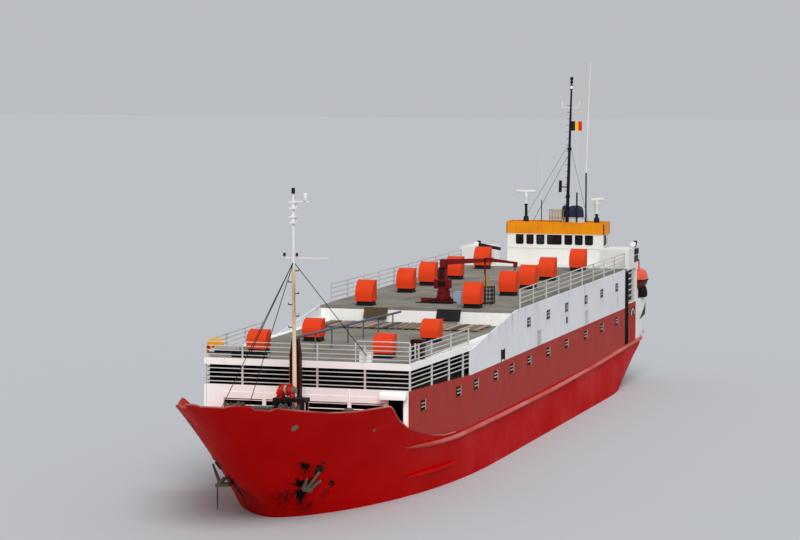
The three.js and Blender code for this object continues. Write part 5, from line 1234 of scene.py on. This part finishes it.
tree.links.new(weave.outputs["Normal"], shader.inputs["Normal"])
hoist = Vector(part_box("flag")[0]) / module + Vector((0.01, 0.09, 0))
flag_wide, flag_tall, columns, rows = 0.85, 0.72, 30, 22
cloth, across = [], []
for u in np.linspace(0, 1, columns + 1):
    for v in np.linspace(0, 1, rows + 1):
        swing = 0.009 * u * math.sin(9 * u + 2.2 * v)
        cloth.append((hoist.x + swing, hoist.y + 0.99 * flag_wide * u, hoist.z + flag_tall * v))
        across.append(u)
starts = [i * (rows + 1) + k for i in range(columns) for k in range(rows)]
cloth_faces = [(a, a + rows + 1, a + rows + 2, a + 1) for a in starts]
ensign = piece("ensign", [(cloth, cloth_faces)], bunting, "flag_cloth", replaces="flag", smooth=180)
ensign.data.attributes.new("stripe", "FLOAT", "POINT").data.foreach_set("value", across)

# After house and casings: white plate with louvres, a dark panel, a floodlight and the ladder frames
# that show in the recess at each quarter. A black tube is stowed on the starboard casing.
dress(["aft_house"], house_white)
# The black slabs in the recess's slot, on the slot's aft side and behind the ladder frames are painted shade
# of the recess; the one high on the casing is a dark panel.
recess_shade_and_panel = [slab(-33.9, -32.7, 6.1, 6.36, 3.05, 8.6), slab(-37.25, -35.9, 6.49, 6.53, 9.17, 9.64),
               slab(-36.3, -33.9, 6.3, 6.4, 6.25, 8.65), slab(-33.9, -33.86, 6.1, 6.52, 3.02, 8.65)]
pair("casing_shade_and_panel", recess_shade_and_panel, coaming_black_and_shade, "black_paint", bevel=0.003)
blade = slab(-0.67, 0.67, -0.06, 0.06, -0.015, 0.015)
louvre = [moved(blade, -36.58, 6.53, z, turn=-0.7, about="X") for z in np.arange(9.78, 10.16, 0.07)]
pair("casing_louvre", louvre, coaming_black_and_shade, "black_paint")
frames = [slab(x - 0.06, x + 0.06, 6.38, 6.48, 6.2, 8.7) for x in (-34.0, -35.5, -35.85)]
frames += [slab(-35.5, -34.0, 6.38, 6.47, z - 0.05, z + 0.05) for z in np.arange(6.35, 8.7, 0.42)]
pair("ladder_frames", frames, rail_paint, "white_paint", bevel=0.003)
pair("casing_coaming", [slab(-37.3, -33.9, 6.45, 6.5, 10.2, 10.24)], house_white, "white_paint", bevel=0.004)
stowed_tube = tube([(-34.5, -5.2, 10.35), (-34.5, -4.9, 10.3), (-34.5, -3.5, 10.05)], [0.14, 0.14, 0.12], 12)
for name, y, z, stowed in (("port", 6.3, 10.2, []), ("starboard", -5.9, 9.95, [stowed_tube])):
    lamp = tube([(-37.1, y, z), (-37.1, y, z + 0.2), (-37.1, y, z + 0.5)], [0.05, 0.14, 0.16], 12)
    piece(f"casing_lamp_{name}", [lamp, *stowed], coaming_black_and_shade, "black_paint", smooth=40)
    floodlight = [tube([(-36.5, y, z + 0.28), (-36.3, y, z + 0.28)], 0.2, 20),
                  tube([(-36.4, y, z - 0.1), (-36.4, y, z + 0.2)], 0.04, 8)]
    piece(f"floodlight_{name}", floodlight, house_white, "white_paint", bevel=0.004)

# Stern quarters: the bulwark in white, red forward of its break, with a mooring port, a dark blue
# triangle, a roller fairlead and a rail cap. Its plan is squarer at the top than at the foot.
dress(["stern_bulwark"], house_white)
navy = enamel("dark navy blue", "#1c2a44", "#2a3a58", runs=0.1, spots=0.1)
quarter_top = [(-36.5, 6.5), (-37.2, 6.51), (-37.9, 6.54), (-38.5, 6.6), (-39.0, 6.65), (-39.4, 6.69),
               (-39.7, 6.68), (-39.88, 6.6), (-39.95, 6.4), (-39.95, 5.8), (-39.95, 5.0)]
quarter_foot = [(-36.5, 6.5), (-37.1, 6.5), (-37.7, 6.5), (-38.2, 6.48), (-38.7, 6.43), (-39.1, 6.36),
                (-39.45, 6.22), (-39.7, 6.0), (-39.86, 5.65), (-39.93, 5.3), (-39.93, 5.0)]
quarter_inside = [(-36.5, 6.4), (-37.1, 6.4), (-37.7, 6.39), (-38.2, 6.36), (-38.6, 6.3), (-39.0, 6.18),
                  (-39.35, 5.95), (-39.6, 5.75), (-39.72, 5.5), (-39.78, 5.3), (-39.78, 5.0)]
quarter_low, quarter_high, quarter_end = 3.28, 6.2, len(quarter_top) - 1


def on_quarter(place, z, proud=0.0):
    """A point of the port quarter's skin; place counts along its plan from forward to the transom."""
    flare = max((z - quarter_low) / (quarter_high - quarter_low), 0) ** 0.4
    i = min(int(place), quarter_end - 1)
    feet = [Vector(p) for p in quarter_foot[i:i + 2]]
    a, b = [foot + (Vector(top) - foot) * flare for foot, top in zip(feet, quarter_top[i:i + 2])]
    spot = a + (b - a) * (place - i)
    along = (b - a).normalized()
    return spot.x + along.y * proud, spot.y - along.x * proud, z


quarter = []
quarter_levels = quarter_low + (quarter_high - quarter_low) * np.linspace(0, 1, 12) ** 1.6
quarter_places = np.linspace(0, quarter_end, 41)
for place in quarter_places:
    i = min(int(place), quarter_end - 1)
    a, b = Vector(quarter_inside[i]), Vector(quarter_inside[i + 1])
    inside = a + (b - a) * (place - i)
    skin = [on_quarter(place, z) for z in quarter_levels]
    quarter += [(*inside, quarter_low), *skin, (*inside, quarter_high)]
ring_count = len(quarter_levels) + 2
quarter_faces = girdled(len(quarter_places), ring_count) + capped(len(quarter_places), ring_count)
patch = []
for share in np.linspace(0, 1, 9):
    low, high = 4.68 + 0.3 * share, 4.7 + 1.22 * share
    for z, proud in ((low, 0.012), (low, -0.02), (high, -0.02), (high, 0.012)):
        patch.append(on_quarter(2 + 3.3 * share, z, proud))
x, y, z = on_quarter(5.2, 3.7)
roller = [tube([(x, y - 0.1, z), (x, y + 0.07, z)], 0.16, 20),
          slab(x - 0.22, x + 0.22, y - 0.1, y + 0.03, z - 0.25, z + 0.25)]
hose = [(-35.75, 6.56, 5.3), (-35.6, 6.57, 5.62), (-35.2, 6.57, 5.74), (-34.85, 6.57, 5.6),
        (-34.75, 6.56, 5.3)]
post = tube([(-37.6, 6.36, quarter_high), (-37.6, 6.36, 7.3), (-37.6, 6.36, 7.38)], [0.1, 0.1, 0.05], 14)
opening = rounded(-36.05, -34.35, 5.25, 5.85, 0.2)
ribs = [slab(x - 0.03, x + 0.03, 6.48, 6.56, 3.3, 5.1) for x in (-34.5, -35.2, -35.9)]
pair("quarter_shell", [(quarter, quarter_faces)], house_white, "white_paint", smooth=35)
pair("quarter_plate", [slab(-36.5, -33.9, 6.48, 6.515, 3.02, quarter_high)], side_red, "faded_red")
pair("quarter_ribs", [*ribs, seal(opening, 0.07, 6.48, 6.56, "y")], side_red, "faded_red", bevel=0.003)
pair("mooring_port", [panel(opening, 6.48, 6.53, "y")], coaming_black_and_shade, "black_paint")
pair("quarter_post", [tube(hose, 0.035, 8), post], rail_paint, "white_paint", smooth=40)
pair("navy_patch", [(patch, girdled(9, 4) + capped(9, 4))], navy, "blue_cover")
pair("quarter_fairlead", roller, rail_paint, "white_paint", bevel=0.004, smooth=35)
cap_line = [on_quarter(place, quarter_high, -0.07) for place in np.linspace(0, quarter_end, 21)]
cap = tube([(-33.95, 6.44, quarter_high), *cap_line, (-39.84, 0, quarter_high)], 0.07, 8)
piece("stern_rail_cap", [cap, moved(cap, mirror=-1)], house_white, "white_paint", smooth=50)

# Rescue boat: a moulded orange hull with a dark red bottom, a rubber fender and a fender bag under it,
# hung from its davit by a hook over the port quarter. Gloss gel coat, dulled in patches of 170 mm.
gel_orange = two_tone("orange gel coat", 0.3, "#ea4a16", "#d9532a", "ShaderNodeTexNoise",
                      {"Scale": 6.0, "Detail": 5.0})
boat_red = enamel("dark red bottom paint", "#5a1512", "#6d2a24", runs=0.1, spots=0.1)
boat_x, boat_y, boat_z = -38.4, 6.35, 7.75
gunwale, crest = 11, 24
boat_rings = []
for t in np.linspace(-1, 1, 25):
    full = math.sqrt(max(1 - t * t * 0.97, 0))
    ring = []
    for k in range(crest + 1):
        turn = -math.pi / 2 + math.pi * k / crest
        wide = 0.63 * full * max(math.cos(turn), 0) ** 0.7
        rise = math.sin(turn) * (0.75 - (0.25 if turn < 0 else 0.35) * t * t)
        ring.append((1.4 * t, wide, rise))
    boat_rings.append(ring)


def boat_part(low, high):
    """The boat's skin between two places of its half section, closed from port to starboard."""
    corners = []
    for ring in boat_rings:
        half = ring[low:high + 1]
        corners += half + [(x, -wide, rise) for x, wide, rise in reversed(half)]
    count = 2 * (high - low + 1)
    skin = girdled(len(boat_rings), count) + capped(len(boat_rings), count)
    return moved((corners, skin), boat_x, boat_y, boat_z)


lug = slab(boat_x - 0.06, boat_x + 0.06, boat_y - 0.05, boat_y + 0.05, boat_z + 0.6, boat_z + 1.26)
piece("boat_canopy", [boat_part(gunwale, crest), lug], gel_orange, "boat_orange", body="rescue_boat",
      replaces="rescue_boat", smooth=40, weld=True)
piece("boat_bottom", [boat_part(0, gunwale)], boat_red, "boat_orange", body="rescue_boat", smooth=40,
      weld=True)
fender = [(x, wide * 1.02, rise) for x, wide, rise in (ring[gunwale] for ring in boat_rings)]
fender += [(x, -wide, rise) for x, wide, rise in reversed(fender)]
piece("boat_fender", placed([tube(fender, 0.05, 8)], boat_x, boat_y, boat_z), rubber, "black_paint",
      body="rescue_boat", smooth=50)
bag = [(7.22, 0.3), (7.0, 0.4), (6.7, 0.46), (6.45, 0.45), (6.33, 0.36)]
piece("boat_fender_bag", [tube([(boat_x, boat_y + 0.2, z) for z, _ in bag], [r for _, r in bag], 24)], rubber,
      "black_paint", body="rescue_boat", smooth=50)
dress(["davit_arm"], crane_red)

# Propeller and rudder: cast bronze browned in patches of 250 mm, and plate under red bottom paint. Both
# are guesses, since the photo doesn't show them.
bronze = two_tone("cast bronze", 0.35, "#b08a45", "#6a5430", "ShaderNodeTexNoise",
                  {"Scale": 4.0, "Detail": 6.0})
bronze.node_tree.nodes["Principled BSDF"].inputs["Metallic"].default_value = 1.0
dress(["propeller"], bronze)
dress(["rudder"], side_red)
